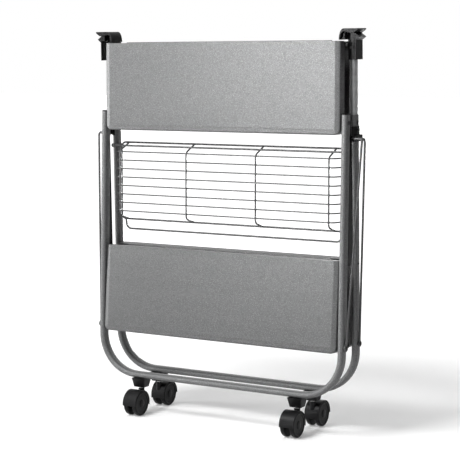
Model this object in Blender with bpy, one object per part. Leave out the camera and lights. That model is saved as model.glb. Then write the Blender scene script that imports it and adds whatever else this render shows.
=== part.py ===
"""Folding trolley: two U-shaped tube frames, two shelves that break in the middle, a wire basket and four castors.

The model stands folded. X runs along the shelves, Y from the front frame to the rear frame, Z up, in metres.
"""

import math

import bmesh
import bpy
from mathutils import Matrix, Vector

# Gap between pieces that touch, and the running gap of a pin in its hole.
FIT = 0.0003

# Tube frames. The legs lean in towards each other at the top.
LEG_SPACING = 0.550
TUBE_DEPTH = 0.026
TUBE_WIDTH = 0.012
TUBE_WALL = 0.0012
LEG_ABOVE_PIVOT = 0.015
BAR_HEIGHT = 0.080
BEND_RADIUS = 0.082
SPLAY = math.radians(1.55)
PLUG_CAP = 0.0016
PLUG_REACH = 0.009

# Shelf pivots on the legs, and the rivets that make them.
UPPER_PIVOT_HEIGHT = 0.607
LOWER_PIVOT_HEIGHT = 0.1785
PIVOT_HALF_GAP = 0.0193
RIVET_RADIUS = 0.003
RIVET_HEAD_RADIUS = 0.0045
RIVET_HEAD_HEIGHT = 0.0018
LOOSE_PIVOT = 0.0014

# Shelf half panels: pressed pans, open below, with deeper sides round their pivots.
PANEL_LENGTH = 0.178
PANEL_OVERHANG = 0.023
PANEL_SIDE_GAP = 0.0015
PANEL_FLANGE = 0.0215
PANEL_EAR = 0.0225
PANEL_EAR_LENGTH = 0.014
PANEL_EAR_SLOPE = 0.006
PANEL_SHEET = 0.0012
PANEL_CORNER = 0.008
PANEL_BEVEL_WIDTH = 0.010
PANEL_BEVEL_DEPTH = 0.003
PANEL_EDGE_RADIUS = 0.002
FACE_TO_PIVOT = 0.0132
PANEL_MEETING_GAP = 0.0008

# Middle hinge of each shelf.
HINGE_LENGTH = 0.470
HINGE_KNUCKLES = 5
HINGE_LEAF = 0.0012
HINGE_LEAF_REACH = 0.024
KNUCKLE_RADIUS = 0.0027
HINGE_PIN_RADIUS = 0.0012

# Extension tubes and their caps.
EXTENSION_WALL = 0.001
EXTENSION_BELOW_CAP = 0.007
EXTENSION_INSERT = 0.060
CAP_ABOVE_SHELF = 0.024
CAP_SLEEVE_LENGTH = 0.059
CAP_SLEEVE_WALL = 0.002
CAP_SLEEVE_FRONT = 0.001
CAP_PLATE_THICKNESS = 0.006
CAP_PLATE_OUT = 0.0238
CAP_PLATE_IN = 0.006
CAP_PLATE_FRONT = 0.035
CAP_PLATE_BACK = 0.003
CAP_WING_REACH = 0.010
CAP_WING_ABOVE_SHELF = 0.0026
CAP_WING_WALL = 0.0026
CAP_FIN_OUT = 0.0168
CAP_FIN_THICKNESS = 0.002
CAP_FIN_FRONT = 0.0285
CAP_FIN_BACK = 0.002
CAP_HOOK_OUT = 0.0245
CAP_HOOK_TOP = 0.007
CAP_HOOK_TIP = 0.0155
CAP_HOOK_BOTTOM = 0.022
CAP_WEB_BOTTOM = 0.019
CAP_SCREW_DROP = 0.036
CAP_SCREW_RADIUS = 0.0014
CAP_SCREW_HEAD_RADIUS = 0.0026

# Wire basket, hung by its hanger wire from eyes on the rear legs, with its rail just above the lower shelf.
HANGER_BELOW_PIVOT = 0.0565
HANGER_BACK = -0.005
HANGER_RADIUS = 0.002
HANGER_EYE_RADIUS = 0.004
HANGER_EYE_WIDTH = 0.006
HANGER_EYE_END = 0.001
HANGER_ARM_HEIGHT = 0.005
BASKET_DEPTH = 0.032
BASKET_SIDE_GAP = 0.008
BASKET_FLARE = 0.010
BASKET_TOP_FLARE = 0.016
BASKET_BEND = 0.010
FLOOR_WIRES = 8
FLOOR_TOP_EDGE = 0.018
FLOOR_BOTTOM_EDGE = 0.0195
FLOOR_WIRE_RADIUS = 0.0014
CROSS_WIRES = 4
CROSS_WIRE_SPACING = 0.160
CROSS_WIRE_RADIUS = 0.0017
RIM_RADIUS = 0.002
RAIL_ABOVE_SHELF = 0.032
RAIL_DROP = 0.021
RAIL_SET_BACK = 0.004
WELD = 0.0008

# Plastic clips on the rear legs, and the side stays that hook into them.
CLIP_WALL = 0.0018
CLIP_BELOW_PIVOT = 0.007
CLIP_LENGTH = 0.029
CLIP_ARM_HEIGHT = 0.013
STAY_RADIUS = 0.0022
STAY_BELOW_PIVOT = 0.030
STAY_TOP_OUT = 0.0218
STAY_TOP_HALF_GAP = 0.0065
STAY_BEND = 0.006
STAY_EYE_RADIUS = 0.0065
STAY_EYE_THICKNESS = 0.0034

# Castors.
CASTOR_X = 0.181
CASTOR_TRAIL = 0.020
WHEEL_RADIUS = 0.025
WHEEL_WIDTH = 0.011
WHEEL_EDGE = 0.0025
WHEEL_DISH = 0.0012
AXLE_RADIUS = 0.003
AXLE_END_COVER = 0.0015
WEB_THICKNESS = 0.010
HOOD_GAP = 0.0008
HOOD_WALL = 0.0024
HOOD_LOW_ANGLE = math.radians(-4)
HOOD_HIGH_ANGLE = math.radians(194)
HOOD_WEB_INSET = math.radians(4)
HOOD_STEPS = 11
HUB_RADIUS = 0.009
STEM_RADIUS = 0.004
BOSS_RADIUS = 0.0062
BOSS_TOP = 0.0525
BOSS_BOTTOM = 0.036
SOCKET_BOTTOM = 0.0555
SOCKET_SADDLE = 0.0035
SOCKET_TOP_SIZE = (0.032, 0.0295)
SOCKET_BOTTOM_SIZE = (0.0255, 0.020)

# Facet counts.
OVAL_STEPS = 5
BEND_STEPS = 6
WIRE_SIDES = 6
WIRE_BEND_STEPS = 3
ROUND_SIDES = 12
SMALL_SIDES = 8
WHEEL_SIDES = 16

# Values that follow from the sizes above.
LEG_X = LEG_SPACING / 2
LEG_INNER = LEG_X - TUBE_WIDTH / 2
LEG_OUTER = LEG_X + TUBE_WIDTH / 2
PANEL_HALF_WIDTH = LEG_INNER - PANEL_SIDE_GAP
LEG_TOP = UPPER_PIVOT_HEIGHT + LEG_ABOVE_PIVOT
SPREAD = (UPPER_PIVOT_HEIGHT - LOWER_PIVOT_HEIGHT) * math.tan(SPLAY)
UPPER_REACH = PANEL_LENGTH - PANEL_OVERHANG
LOWER_REACH = UPPER_REACH + SPREAD
SHELF_TOP = UPPER_PIVOT_HEIGHT + UPPER_REACH
CAP_TOP = SHELF_TOP + CAP_ABOVE_SHELF
CAP_WING_DROP = CAP_ABOVE_SHELF - CAP_WING_ABOVE_SHELF
EXTENSION_TOP = CAP_TOP - EXTENSION_BELOW_CAP
HANGER_HEIGHT = UPPER_PIVOT_HEIGHT - HANGER_BELOW_PIVOT
STAY_TOP = UPPER_PIVOT_HEIGHT - STAY_BELOW_PIVOT
FACE_TO_HINGE = PIVOT_HALF_GAP + FACE_TO_PIVOT
EXTENSION_DEPTH = TUBE_DEPTH - 2 * TUBE_WALL - 2 * FIT
EXTENSION_WIDTH = TUBE_WIDTH - 2 * TUBE_WALL - 2 * FIT
STEM_BOTTOM = WHEEL_RADIUS + math.sqrt(WHEEL_RADIUS**2 - CASTOR_TRAIL**2) + 3 * FIT
SIDES = {"left": -1, "right": 1}
ENDS = {"front": -1, "rear": 1}


def leg_offset(height):
    """Distance of a leg's centre line from the middle plane."""
    return PIVOT_HALF_GAP + (UPPER_PIVOT_HEIGHT - height) * math.tan(SPLAY)


def along_leg(height):
    """Place along a leaning leg, from its upper pivot."""
    return (height - UPPER_PIVOT_HEIGHT) / math.cos(SPLAY)


def folded_tilt(reach, half_gap):
    """Lean of a folded half panel whose pivot lies half_gap from the middle plane."""
    arm = math.hypot(reach, PIVOT_HALF_GAP)
    return math.asin(half_gap / arm) - math.atan2(PIVOT_HALF_GAP, reach)


def folded_hinge(pivot_height, reach):
    """Height of a folded shelf's middle hinge."""
    tilt = folded_tilt(reach, leg_offset(pivot_height))
    return pivot_height + reach * math.cos(tilt) - PIVOT_HALF_GAP * math.sin(tilt)


def in_rear_frame(back, height):
    """World depth and height turned into the leaning rear frame's own axes."""
    depth = back - PIVOT_HALF_GAP
    rise = height - UPPER_PIVOT_HEIGHT
    cos, sin = math.cos(SPLAY), math.sin(SPLAY)
    return depth * cos + rise * sin, rise * cos - depth * sin


def clear_scene():
    for item in list(bpy.data.objects):
        bpy.data.objects.remove(item, do_unlink=True)


def finish(name, colour, roughness, metallic):
    made = bpy.data.materials.new(name)
    made.use_nodes = True
    shader = made.node_tree.nodes["Principled BSDF"]
    shader.inputs["Base Color"].default_value = (*colour, 1)
    shader.inputs["Roughness"].default_value = roughness
    shader.inputs["Metallic"].default_value = metallic
    return made


def add_empty(name, location, rotation=(0, 0, 0)):
    made = bpy.data.objects.new(name, None)
    made.location = location
    made.rotation_euler = rotation
    bpy.context.scene.collection.objects.link(made)
    return made


def mesh_of(name, shape):
    """Closes a bmesh into a mesh with faces pointing out and smooth round sides."""
    bmesh.ops.recalc_face_normals(shape, faces=shape.faces)
    mesh = bpy.data.meshes.new(name)
    shape.to_mesh(mesh)
    shape.free()
    mesh.shade_smooth()
    mesh.set_sharp_from_angle(angle=math.radians(40))
    return mesh


def add_object(name, shape, look, parent=None, location=(0, 0, 0)):
    """Adds one sub-part from a bmesh, or from a mesh that copies share."""
    mesh = mesh_of(name, shape) if isinstance(shape, bmesh.types.BMesh) else shape
    if not mesh.materials:
        mesh.materials.append(look)
    made = bpy.data.objects.new(name, mesh)
    made.parent = parent
    made.location = location
    bpy.context.scene.collection.objects.link(made)
    return made


def combine(target, operation, *shapes):
    """Joins helper solids to a sub-part, or cuts them from it, in the sub-part's own axes."""
    for number, shape in enumerate(shapes):
        tool = add_object(f"{target.name}.{operation.lower()}{number}", shape, target.data.materials[0], target)
        tool.hide_render = True
        tool.display_type = "WIRE"
        change = target.modifiers.new(tool.name, "BOOLEAN")
        change.operation = operation
        change.solver = "EXACT"
        change.object = tool


def arc(centre, radii, start, end, steps):
    """Points of an elliptic arc in a plane, both ends included."""
    points = []
    for step in range(steps + 1):
        angle = start + (end - start) * step / steps
        points.append((centre[0] + radii[0] * math.cos(angle), centre[1] + radii[1] * math.sin(angle)))
    return points


def flat_oval(depth, width, grow=0.0):
    """Outline of the flat-oval tube: width across, depth along, moved out by grow."""
    radius = width / 2 + grow
    middle = (depth - width) / 2
    upper = arc((0, middle), (radius, radius), 0, math.pi, OVAL_STEPS)
    lower = arc((0, -middle), (radius, radius), math.pi, 2 * math.pi, OVAL_STEPS)
    return upper + lower


def skin(shape, near, far):
    count = len(near)
    for i in range(count):
        j = (i + 1) % count
        shape.faces.new((near[i], near[j], far[j], far[i]))


def ring(shape, outline, place):
    return [shape.verts.new(place(a, b)) for a, b in outline]


def loft(shape, rings):
    """Skins a row of rings and closes both ends."""
    for near, far in zip(rings, rings[1:]):
        skin(shape, near, far)
    shape.faces.new(rings[0])
    shape.faces.new(rings[-1])


def prism(outline, low, high, place):
    """Extrudes an outline from low to high, with place(a, b, c) turning it into space."""
    shape = bmesh.new()
    loft(shape, [ring(shape, outline, lambda a, b, c=c: place(a, b, c)) for c in (low, high)])
    return shape


def along_x(a, b, c):
    """Outline in the YZ plane, extruded along X."""
    return Vector((c, a, b))


def along_y(a, b, c):
    """Outline in the XZ plane, extruded along Y."""
    return Vector((a, c, b))


def along_z(a, b, c):
    """Outline in the XY plane, extruded along Z."""
    return Vector((a, b, c))


def circle(radius, sides=ROUND_SIDES, centre=(0, 0)):
    return arc(centre, (radius, radius), 0, 2 * math.pi * (1 - 1 / sides), sides - 1)


def rectangle(low, high):
    return [(low[0], low[1]), (high[0], low[1]), (high[0], high[1]), (low[0], high[1])]


def turned(profile, sides):
    """Solid of revolution about X from (radius, x) points that start and end on the axis."""
    shape = bmesh.new()
    rows = []
    for radius, x in profile:
        if radius == 0:
            rows.append([shape.verts.new((x, 0, 0))])
        else:
            rows.append(ring(shape, circle(radius, sides), lambda a, b, x=x: Vector((x, a, b))))
    for near, far in zip(rows, rows[1:]):
        if len(near) > 1 and len(far) > 1:
            skin(shape, near, far)
            continue
        tip, base = (near[0], far) if len(near) == 1 else (far[0], near)
        for i in range(sides):
            shape.faces.new((tip, base[i], base[(i + 1) % sides]))
    return shape


def rounded_path(points, radius):
    """Path through points with its corners rounded by arcs."""
    path = [Vector(points[0])]
    for before, corner, after in zip(points, points[1:], points[2:]):
        corner = Vector(corner)
        back = (Vector(before) - corner).normalized()
        ahead = (Vector(after) - corner).normalized()
        half = back.angle(ahead) / 2
        centre = corner + (back + ahead).normalized() * radius / math.sin(half)
        start = corner + back * radius / math.tan(half) - centre
        end = corner + ahead * radius / math.tan(half) - centre
        turn = start.angle(end)
        for step in range(WIRE_BEND_STEPS + 1):
            share = step / WIRE_BEND_STEPS
            mix = start * math.sin((1 - share) * turn) + end * math.sin(share * turn)
            path.append(centre + mix / math.sin(turn))
    path.append(Vector(points[-1]))
    return path


def add_wire(shape, path, radius, side_axis, closed=False):
    """Round wire along a path that lies square to side_axis."""
    side = Vector(side_axis)
    count = len(path)
    rings = []
    for i, point in enumerate(path):
        before = path[i - 1] if i or closed else point
        after = path[(i + 1) % count] if i < count - 1 or closed else point
        ahead = (after - before).normalized()
        across = side.cross(ahead).normalized()
        lift = ahead.cross(across)
        rings.append(ring(shape, circle(radius, WIRE_SIDES), lambda a, b: point + across * a + lift * b))
    if closed:
        for i in range(count):
            skin(shape, rings[i - 1], rings[i])
        return
    loft(shape, rings)


def frame_stations():
    """Centres and in-plane normals along the U of a frame, from left leg top to right leg top."""
    bar = along_leg(BAR_HEIGHT)
    top = along_leg(LEG_TOP)
    inner = LEG_X - BEND_RADIUS
    stations = [((-LEG_X, top), (-1, 0))]
    for side, start, end in ((-1, math.pi, 1.5 * math.pi), (1, 1.5 * math.pi, 2 * math.pi)):
        centre = (side * inner, bar + BEND_RADIUS)
        points = arc(centre, (BEND_RADIUS, BEND_RADIUS), start, end, BEND_STEPS)
        normals = arc((0, 0), (1, 1), start, end, BEND_STEPS)
        stations += zip(points, normals)
    stations.append(((LEG_X, top), (1, 0)))
    return stations


def frame_tube():
    shape = bmesh.new()
    walls = []
    for grow in (0, -TUBE_WALL):
        outline = flat_oval(TUBE_DEPTH, TUBE_WIDTH, grow)
        rings = []
        for (x, z), (nx, nz) in frame_stations():
            rings.append(ring(shape, outline, lambda a, b: Vector((x + nx * a, b, z + nz * a))))
        for near, far in zip(rings, rings[1:]):
            skin(shape, near, far)
        walls.append(rings)
    skin(shape, walls[0][0], walls[1][0])
    skin(shape, walls[0][-1], walls[1][-1])
    return shape


def rivet_hole(height):
    """Cutter through both legs for the rivets of one pivot line."""
    outline = circle(RIVET_RADIUS + FIT, SMALL_SIDES, (0, along_leg(height)))
    return prism(outline, -LEG_OUTER - TUBE_WIDTH, LEG_OUTER + TUBE_WIDTH, along_x)


def rivet(outer_stand):
    """Shouldered rivet on the right side: head inside the panel, shoulder in the gap, head outside the leg."""
    inside = PANEL_HALF_WIDTH - PANEL_SHEET - FIT
    outside = LEG_OUTER + outer_stand + FIT
    head = RIVET_HEAD_RADIUS
    dome = arc((0, outside), (head, RIVET_HEAD_HEIGHT), 0, math.pi / 2, 2)
    profile = [
        (0, inside - RIVET_HEAD_HEIGHT),
        (head, inside - RIVET_HEAD_HEIGHT),
        (head, inside),
        (RIVET_RADIUS, inside),
        (RIVET_RADIUS, PANEL_HALF_WIDTH + FIT),
        (head, PANEL_HALF_WIDTH + FIT),
        (head, LEG_INNER - FIT),
        (RIVET_RADIUS, LEG_INNER - FIT),
        (RIVET_RADIUS, outside),
    ]
    return turned(profile + dome[:-1] + [(0, outside + RIVET_HEAD_HEIGHT)], SMALL_SIDES)


def leg_plug():
    """Push-in end plug of an open leg: a cap that covers the tube end and a tapered spigot inside."""
    shape = bmesh.new()
    top = along_leg(LEG_TOP)
    levels = (
        (-TUBE_WALL - 2 * FIT, top - PLUG_REACH),
        (-TUBE_WALL - FIT, top + FIT),
        (0, top + FIT),
        (0, top + FIT + PLUG_CAP / 2),
        (-PLUG_CAP / 2, top + FIT + PLUG_CAP),
    )
    rings = []
    for grow, z in levels:
        rings.append(ring(shape, flat_oval(TUBE_DEPTH, TUBE_WIDTH, grow), lambda a, b: Vector((a, b, z))))
    loft(shape, rings)
    return shape


def panel_outline(inset):
    """Plan of a half panel from its hinge edge to its free edge, drawn in by inset on three sides."""
    half = PANEL_HALF_WIDTH - inset
    far = PANEL_LENGTH - inset
    radius = max(PANEL_CORNER - inset, PANEL_SHEET)
    near = PANEL_MEETING_GAP / 2
    corner = arc((half - radius, far - radius), (radius, radius), 0, math.pi / 2, 4)
    ear = UPPER_REACH - PANEL_EAR_LENGTH
    side = [(half, near), (half, ear - PANEL_EAR_SLOPE), (half, ear)] + corner
    return side + [(-x, y) for x, y in reversed(side)]


def panel_levels(sheet):
    """Insets and heights of the pan's wall, edge, bevel and face, moved in by the sheet."""
    radius = PANEL_EDGE_RADIUS
    shoulder = FACE_TO_HINGE - PANEL_BEVEL_DEPTH - radius
    levels = [(sheet, FACE_TO_HINGE - PANEL_FLANGE)]
    for out, up in arc((0, 0), (radius - sheet, radius - sheet), 0, math.pi / 2, 2):
        levels.append((radius - out, shoulder + up))
    levels.append((PANEL_BEVEL_WIDTH, FACE_TO_HINGE - sheet))
    return levels


def panel_pan():
    """Pressed pan: outer skin, inner skin and the rim that joins them at the open underside."""
    shape = bmesh.new()
    ear = UPPER_REACH - PANEL_EAR_LENGTH
    skins = []
    for sheet in (0, PANEL_SHEET):
        rings = []
        for inset, height in panel_levels(sheet):
            outline = panel_outline(inset)
            outline[0] = (outline[0][0], outline[0][1] + sheet)
            outline[-1] = (outline[-1][0], outline[-1][1] + sheet)
            rings.append(ring(shape, outline, lambda a, b: Vector((a, b, height))))
        for vert in rings[0]:
            if vert.co.y >= ear:
                vert.co.z = FACE_TO_HINGE - PANEL_EAR
        for near, far in zip(rings, rings[1:]):
            skin(shape, near, far)
        shape.faces.new(rings[-1])
        skins.append(rings)
    skin(shape, skins[0][0], skins[1][0])
    return shape


def knuckle_spans(first):
    """X ranges of every second knuckle, starting with the given one."""
    pitch = HINGE_LENGTH / HINGE_KNUCKLES
    start = -HINGE_LENGTH / 2
    return [(start + i * pitch + FIT, start + (i + 1) * pitch - FIT) for i in range(first, HINGE_KNUCKLES, 2)]


def leaf_outline(spans):
    """Leaf in the XZ plane: a strip with a tab down to each of its knuckles."""
    clear = KNUCKLE_RADIUS + FIT
    points = [(HINGE_LENGTH / 2, HINGE_LEAF_REACH), (-HINGE_LENGTH / 2, HINGE_LEAF_REACH)]
    points.append((-HINGE_LENGTH / 2, clear))
    for low, high in spans:
        points += [(low, clear), (low, 0), (high, 0), (high, clear)]
    points.append((HINGE_LENGTH / 2, clear))
    return [p for i, p in enumerate(points) if p != points[i - 1]]


def add_hinge_leaf(name, first, look, parent, location):
    near = PANEL_MEETING_GAP / 2 + PANEL_SHEET + FIT
    spans = knuckle_spans(first)
    leaf = add_object(name, prism(leaf_outline(spans), near, near + HINGE_LEAF, along_y), look, parent, location)
    knuckles = [prism(circle(KNUCKLE_RADIUS, SMALL_SIDES), low, high, along_x) for low, high in spans]
    combine(leaf, "UNION", *knuckles)
    bore = circle(HINGE_PIN_RADIUS + FIT, SMALL_SIDES)
    combine(leaf, "DIFFERENCE", prism(bore, -HINGE_LENGTH, HINGE_LENGTH, along_x))


def add_shelf(level, pivot_height, reach, looks):
    """One shelf: two half panels, their hinge leaves and the pin."""
    gap = leg_offset(pivot_height)
    hinge = folded_hinge(pivot_height, reach)
    turn = folded_tilt(reach, gap) - math.pi / 2
    for end, sign in ENDS.items():
        heading = math.pi if sign < 0 else 0
        if end == "rear":
            axis = add_empty(f"{level}_rear_axis", (0, gap, pivot_height), (turn, 0, heading))
            offset = Vector((0, -reach, -PIVOT_HALF_GAP))
        else:
            axis = add_empty(f"{level}_front_axis", (0, 0, hinge), (turn, 0, heading))
            offset = Vector((0, 0, 0))
        loose = LOOSE_PIVOT if (level, end) == ("lower", "front") else FIT
        pivot = circle(RIVET_RADIUS + loose, SMALL_SIDES, (reach, PIVOT_HALF_GAP))
        panel = add_object(f"{level}_{end}_panel", panel_pan(), looks["paint"], axis, offset)
        combine(panel, "DIFFERENCE", prism(pivot, -LEG_OUTER, LEG_OUTER, along_x))
        add_hinge_leaf(f"{level}_hinge_{end}_leaf", 0 if end == "rear" else 1, looks["paint"], axis, offset)
        if end == "rear":
            half = HINGE_LENGTH / 2
            pin = turned([(0, -half), (HINGE_PIN_RADIUS, -half), (HINGE_PIN_RADIUS, half), (0, half)], SMALL_SIDES)
            add_object(f"{level}_hinge_pin", pin, looks["steel"], axis, offset)


def extension_tube():
    shape = bmesh.new()
    low = along_leg(LEG_TOP) - EXTENSION_INSERT
    high = along_leg(EXTENSION_TOP)
    walls = []
    for grow in (0, -EXTENSION_WALL):
        outline = flat_oval(EXTENSION_DEPTH, EXTENSION_WIDTH, grow)
        walls.append([ring(shape, outline, lambda a, b: Vector((a, b, z))) for z in (low, high)])
        skin(shape, *walls[-1])
    for end in (0, 1):
        skin(shape, walls[0][end], walls[1][end])
    return shape


def add_top_cap(name, side, look, parent):
    """Plastic cap: top plate, quarter-round wing over the shelf corner, hook, outer fin and tube sleeve."""
    top = along_leg(CAP_TOP)
    front = -CAP_PLATE_FRONT
    wing_top = CAP_PLATE_IN
    under = top - CAP_PLATE_THICKNESS
    sweep = arc((-wing_top, top - CAP_WING_DROP), (CAP_WING_REACH, CAP_WING_DROP), math.pi, math.pi / 2, 5)
    lower = arc(
        (-wing_top, top - CAP_WING_DROP),
        (CAP_WING_REACH - CAP_WING_WALL, CAP_WING_DROP - CAP_PLATE_THICKNESS),
        math.pi / 2,
        math.pi,
        5,
    )
    round_end = [(CAP_PLATE_OUT - CAP_PLATE_THICKNESS / 6, top)]
    round_end += arc(
        (CAP_PLATE_OUT - CAP_PLATE_THICKNESS, top - CAP_PLATE_THICKNESS / 6),
        (CAP_PLATE_THICKNESS, CAP_PLATE_THICKNESS * 5 / 6),
        0,
        -math.pi / 2,
        4,
    )

    def outward(a, b, c):
        return Vector((side * a, c, b))

    def upward(a, b, c):
        return Vector((side * a, b, c))

    plate = prism(sweep + round_end + lower, front, CAP_PLATE_BACK, outward)
    cap = add_object(name, plate, look, parent, (side * LEG_X, 0, 0))
    inner = EXTENSION_WIDTH / 2 + CAP_SLEEVE_WALL
    depth = EXTENSION_DEPTH / 2 + CAP_SLEEVE_WALL
    bottom = top - CAP_SLEEVE_LENGTH
    sleeve = prism(
        rectangle((-inner, -depth - CAP_SLEEVE_FRONT), (inner + CAP_SLEEVE_WALL, depth)), bottom, under + WELD, upward
    )
    hook = [
        (inner, top - CAP_HOOK_TOP),
        (inner + CAP_SLEEVE_WALL, top - CAP_HOOK_TOP),
        (CAP_HOOK_OUT, top - CAP_HOOK_TIP),
        (CAP_FIN_OUT, top - CAP_HOOK_BOTTOM),
        (CAP_FIN_OUT, bottom),
        (CAP_FIN_OUT - CAP_FIN_THICKNESS, bottom),
        (CAP_FIN_OUT - CAP_FIN_THICKNESS, top - CAP_WEB_BOTTOM),
        (inner, top - CAP_WEB_BOTTOM),
    ]
    combine(cap, "UNION", sleeve, prism(hook, -CAP_FIN_FRONT, CAP_FIN_BACK, outward))
    bore = flat_oval(EXTENSION_DEPTH, EXTENSION_WIDTH, FIT)
    socket_end = along_leg(EXTENSION_TOP) + FIT
    screw = circle(CAP_SCREW_RADIUS + FIT, SMALL_SIDES, (0, top - CAP_SCREW_DROP))
    combine(
        cap,
        "DIFFERENCE",
        prism(bore, bottom - CAP_SLEEVE_LENGTH, socket_end, upward),
        prism(screw, -CAP_PLATE_FRONT, 0, outward),
    )


def cap_screw():
    """Pan-head screw along -Y through the sleeve's front wall and the tube, turned about X and stood on the face."""
    seat = EXTENSION_DEPTH / 2 + CAP_SLEEVE_WALL + CAP_SLEEVE_FRONT + FIT
    tip = EXTENSION_DEPTH / 2 - 2 * EXTENSION_WALL
    head = CAP_SCREW_HEAD_RADIUS
    profile = [
        (0, -seat - head / 2),
        (head * 0.8, -seat - head / 2),
        (head, -seat - head / 4),
        (head, -seat),
        (CAP_SCREW_RADIUS, -seat),
        (CAP_SCREW_RADIUS, -tip),
        (0, -tip),
    ]
    shape = turned(profile, SMALL_SIDES)
    bmesh.ops.rotate(shape, verts=shape.verts, cent=(0, 0, 0), matrix=Matrix.Rotation(math.pi / 2, 3, "Z"))
    return shape


def add_frame(end, sign, looks):
    """One U frame with its rivets and leg ends, on an axis at its upper pivots."""
    axis = add_empty(f"{end}_frame_axis", (0, sign * PIVOT_HALF_GAP, UPPER_PIVOT_HEIGHT), (sign * SPLAY, 0, 0))
    tube = add_object(f"{end}_frame_tube", frame_tube(), looks["paint"], axis)
    if end == "rear":
        for side in SIDES.values():
            add_hanger_eye(tube, side)
    combine(tube, "DIFFERENCE", rivet_hole(UPPER_PIVOT_HEIGHT), rivet_hole(LOWER_PIVOT_HEIGHT))
    pivots = (("upper", UPPER_PIVOT_HEIGHT, 0), ("lower", LOWER_PIVOT_HEIGHT, STAY_EYE_THICKNESS + FIT))
    for level, height, stand in pivots:
        mesh = mesh_of(f"{level}_rivet", rivet(stand))
        for side_name, side in SIDES.items():
            made = add_object(f"{level}_{end}_{side_name}_rivet", mesh, looks["dark"], axis)
            made.location = (0, 0, along_leg(height))
            made.rotation_euler = (0, 0, 0 if side > 0 else math.pi)
    for side_name, side in SIDES.items():
        place = (side * LEG_X, 0, 0)
        if end == "front":
            add_object(f"front_{side_name}_leg_plug", leg_plug(), looks["plastic"], axis, place)
            continue
        tube = add_object(f"{side_name}_extension_tube", extension_tube(), looks["paint"], axis, place)
        hole = circle(RIVET_RADIUS + FIT, SMALL_SIDES)
        drill = circle(CAP_SCREW_RADIUS + FIT, SMALL_SIDES, (0, along_leg(CAP_TOP) - CAP_SCREW_DROP))
        combine(
            tube,
            "DIFFERENCE",
            prism(hole, -TUBE_WIDTH, TUBE_WIDTH, along_x),
            prism(drill, -TUBE_DEPTH, 0, along_y),
        )
        add_top_cap(f"{side_name}_top_cap", side, looks["plastic"], axis)
        screw_place = (side * LEG_X, 0, along_leg(CAP_TOP) - CAP_SCREW_DROP)
        add_object(f"{side_name}_cap_screw", cap_screw(), looks["dark"], axis, screw_place)
        add_clip(f"{side_name}_clip", side, looks["plastic"], axis)


def add_hanger_eye(tube, side):
    """Eye welded to the inner face of a rear leg, reaching forward to the end of the basket's hanger wire."""

    def outward(a, b, c):
        return Vector((side * c, a, b))

    eye = in_rear_frame(HANGER_BACK, HANGER_HEIGHT)
    half = HANGER_ARM_HEIGHT / 2
    turn = math.asin(half / HANGER_EYE_RADIUS)
    outline = arc(eye, (HANGER_EYE_RADIUS, HANGER_EYE_RADIUS), turn, 2 * math.pi - turn, 8)
    outline += [(0, eye[1] - half), (0, eye[1] + half)]
    combine(tube, "UNION", prism(outline, LEG_INNER - HANGER_EYE_WIDTH, LEG_INNER + TUBE_WALL / 2, outward))
    hole = circle(HANGER_RADIUS + FIT, SMALL_SIDES, eye)
    inner = LEG_INNER - 2 * HANGER_EYE_WIDTH
    combine(tube, "DIFFERENCE", prism(hole, inner, LEG_INNER - HANGER_EYE_END, outward))


def add_clip(name, side, look, parent):
    """Snap-on clip: a C round the rear leg and a bracket for the stays."""
    top = -CLIP_BELOW_PIVOT
    bottom = top - CLIP_LENGTH
    outer = flat_oval(TUBE_DEPTH, TUBE_WIDTH, CLIP_WALL)
    inner = flat_oval(TUBE_DEPTH, TUBE_WIDTH, FIT)

    def upward(a, b, c):
        return Vector((side * a, b, c))

    def outward(a, b, c):
        return Vector((side * c, a, b))

    clip = add_object(name, prism(outer, bottom, top, upward), look, parent, (side * LEG_X, 0, 0))
    arm_low = TUBE_WIDTH / 2 + FIT + CLIP_WALL / 2
    arm_high = TUBE_WIDTH / 2 + STAY_TOP_OUT - STAY_RADIUS - STAY_BEND
    rear_end = in_rear_frame(STAY_TOP_HALF_GAP, STAY_TOP)
    front_end = in_rear_frame(-STAY_TOP_HALF_GAP, STAY_TOP)
    lip = STAY_RADIUS + CLIP_WALL
    arm_half = CLIP_ARM_HEIGHT / 2
    arm = [
        (TUBE_DEPTH / 4, front_end[1] - arm_half),
        (TUBE_DEPTH / 4, front_end[1] + arm_half),
        (front_end[0], front_end[1] + arm_half * 0.8),
        (front_end[0] - lip, front_end[1] + lip),
        (front_end[0] - lip, front_end[1] - lip),
        (front_end[0], front_end[1] - arm_half * 0.8),
    ]
    combine(clip, "UNION", prism(arm, arm_low, arm_high, outward))
    mouth_half = TUBE_DEPTH / 2 + CLIP_WALL + FIT
    mouth = rectangle((-TUBE_WIDTH - CLIP_WALL, -mouth_half), (-TUBE_WIDTH / 4, mouth_half))
    stay_hole = circle(STAY_RADIUS + FIT, ROUND_SIDES, rear_end)
    slot_half = STAY_RADIUS + FIT
    slot = arc(front_end, (slot_half, slot_half), math.pi / 2, -math.pi / 2, 6)
    slot += [(front_end[0] - 2 * lip, front_end[1] - slot_half), (front_end[0] - 2 * lip, front_end[1] + slot_half)]
    combine(
        clip,
        "DIFFERENCE",
        prism(inner, bottom - CLIP_WALL, top + CLIP_WALL, upward),
        prism(mouth, bottom - CLIP_WALL, top + CLIP_WALL, upward),
        prism(stay_hole, arm_low + CLIP_WALL, arm_high + CLIP_WALL, outward),
        prism(slot, arm_low + CLIP_WALL, arm_high + CLIP_WALL, outward),
    )


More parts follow.
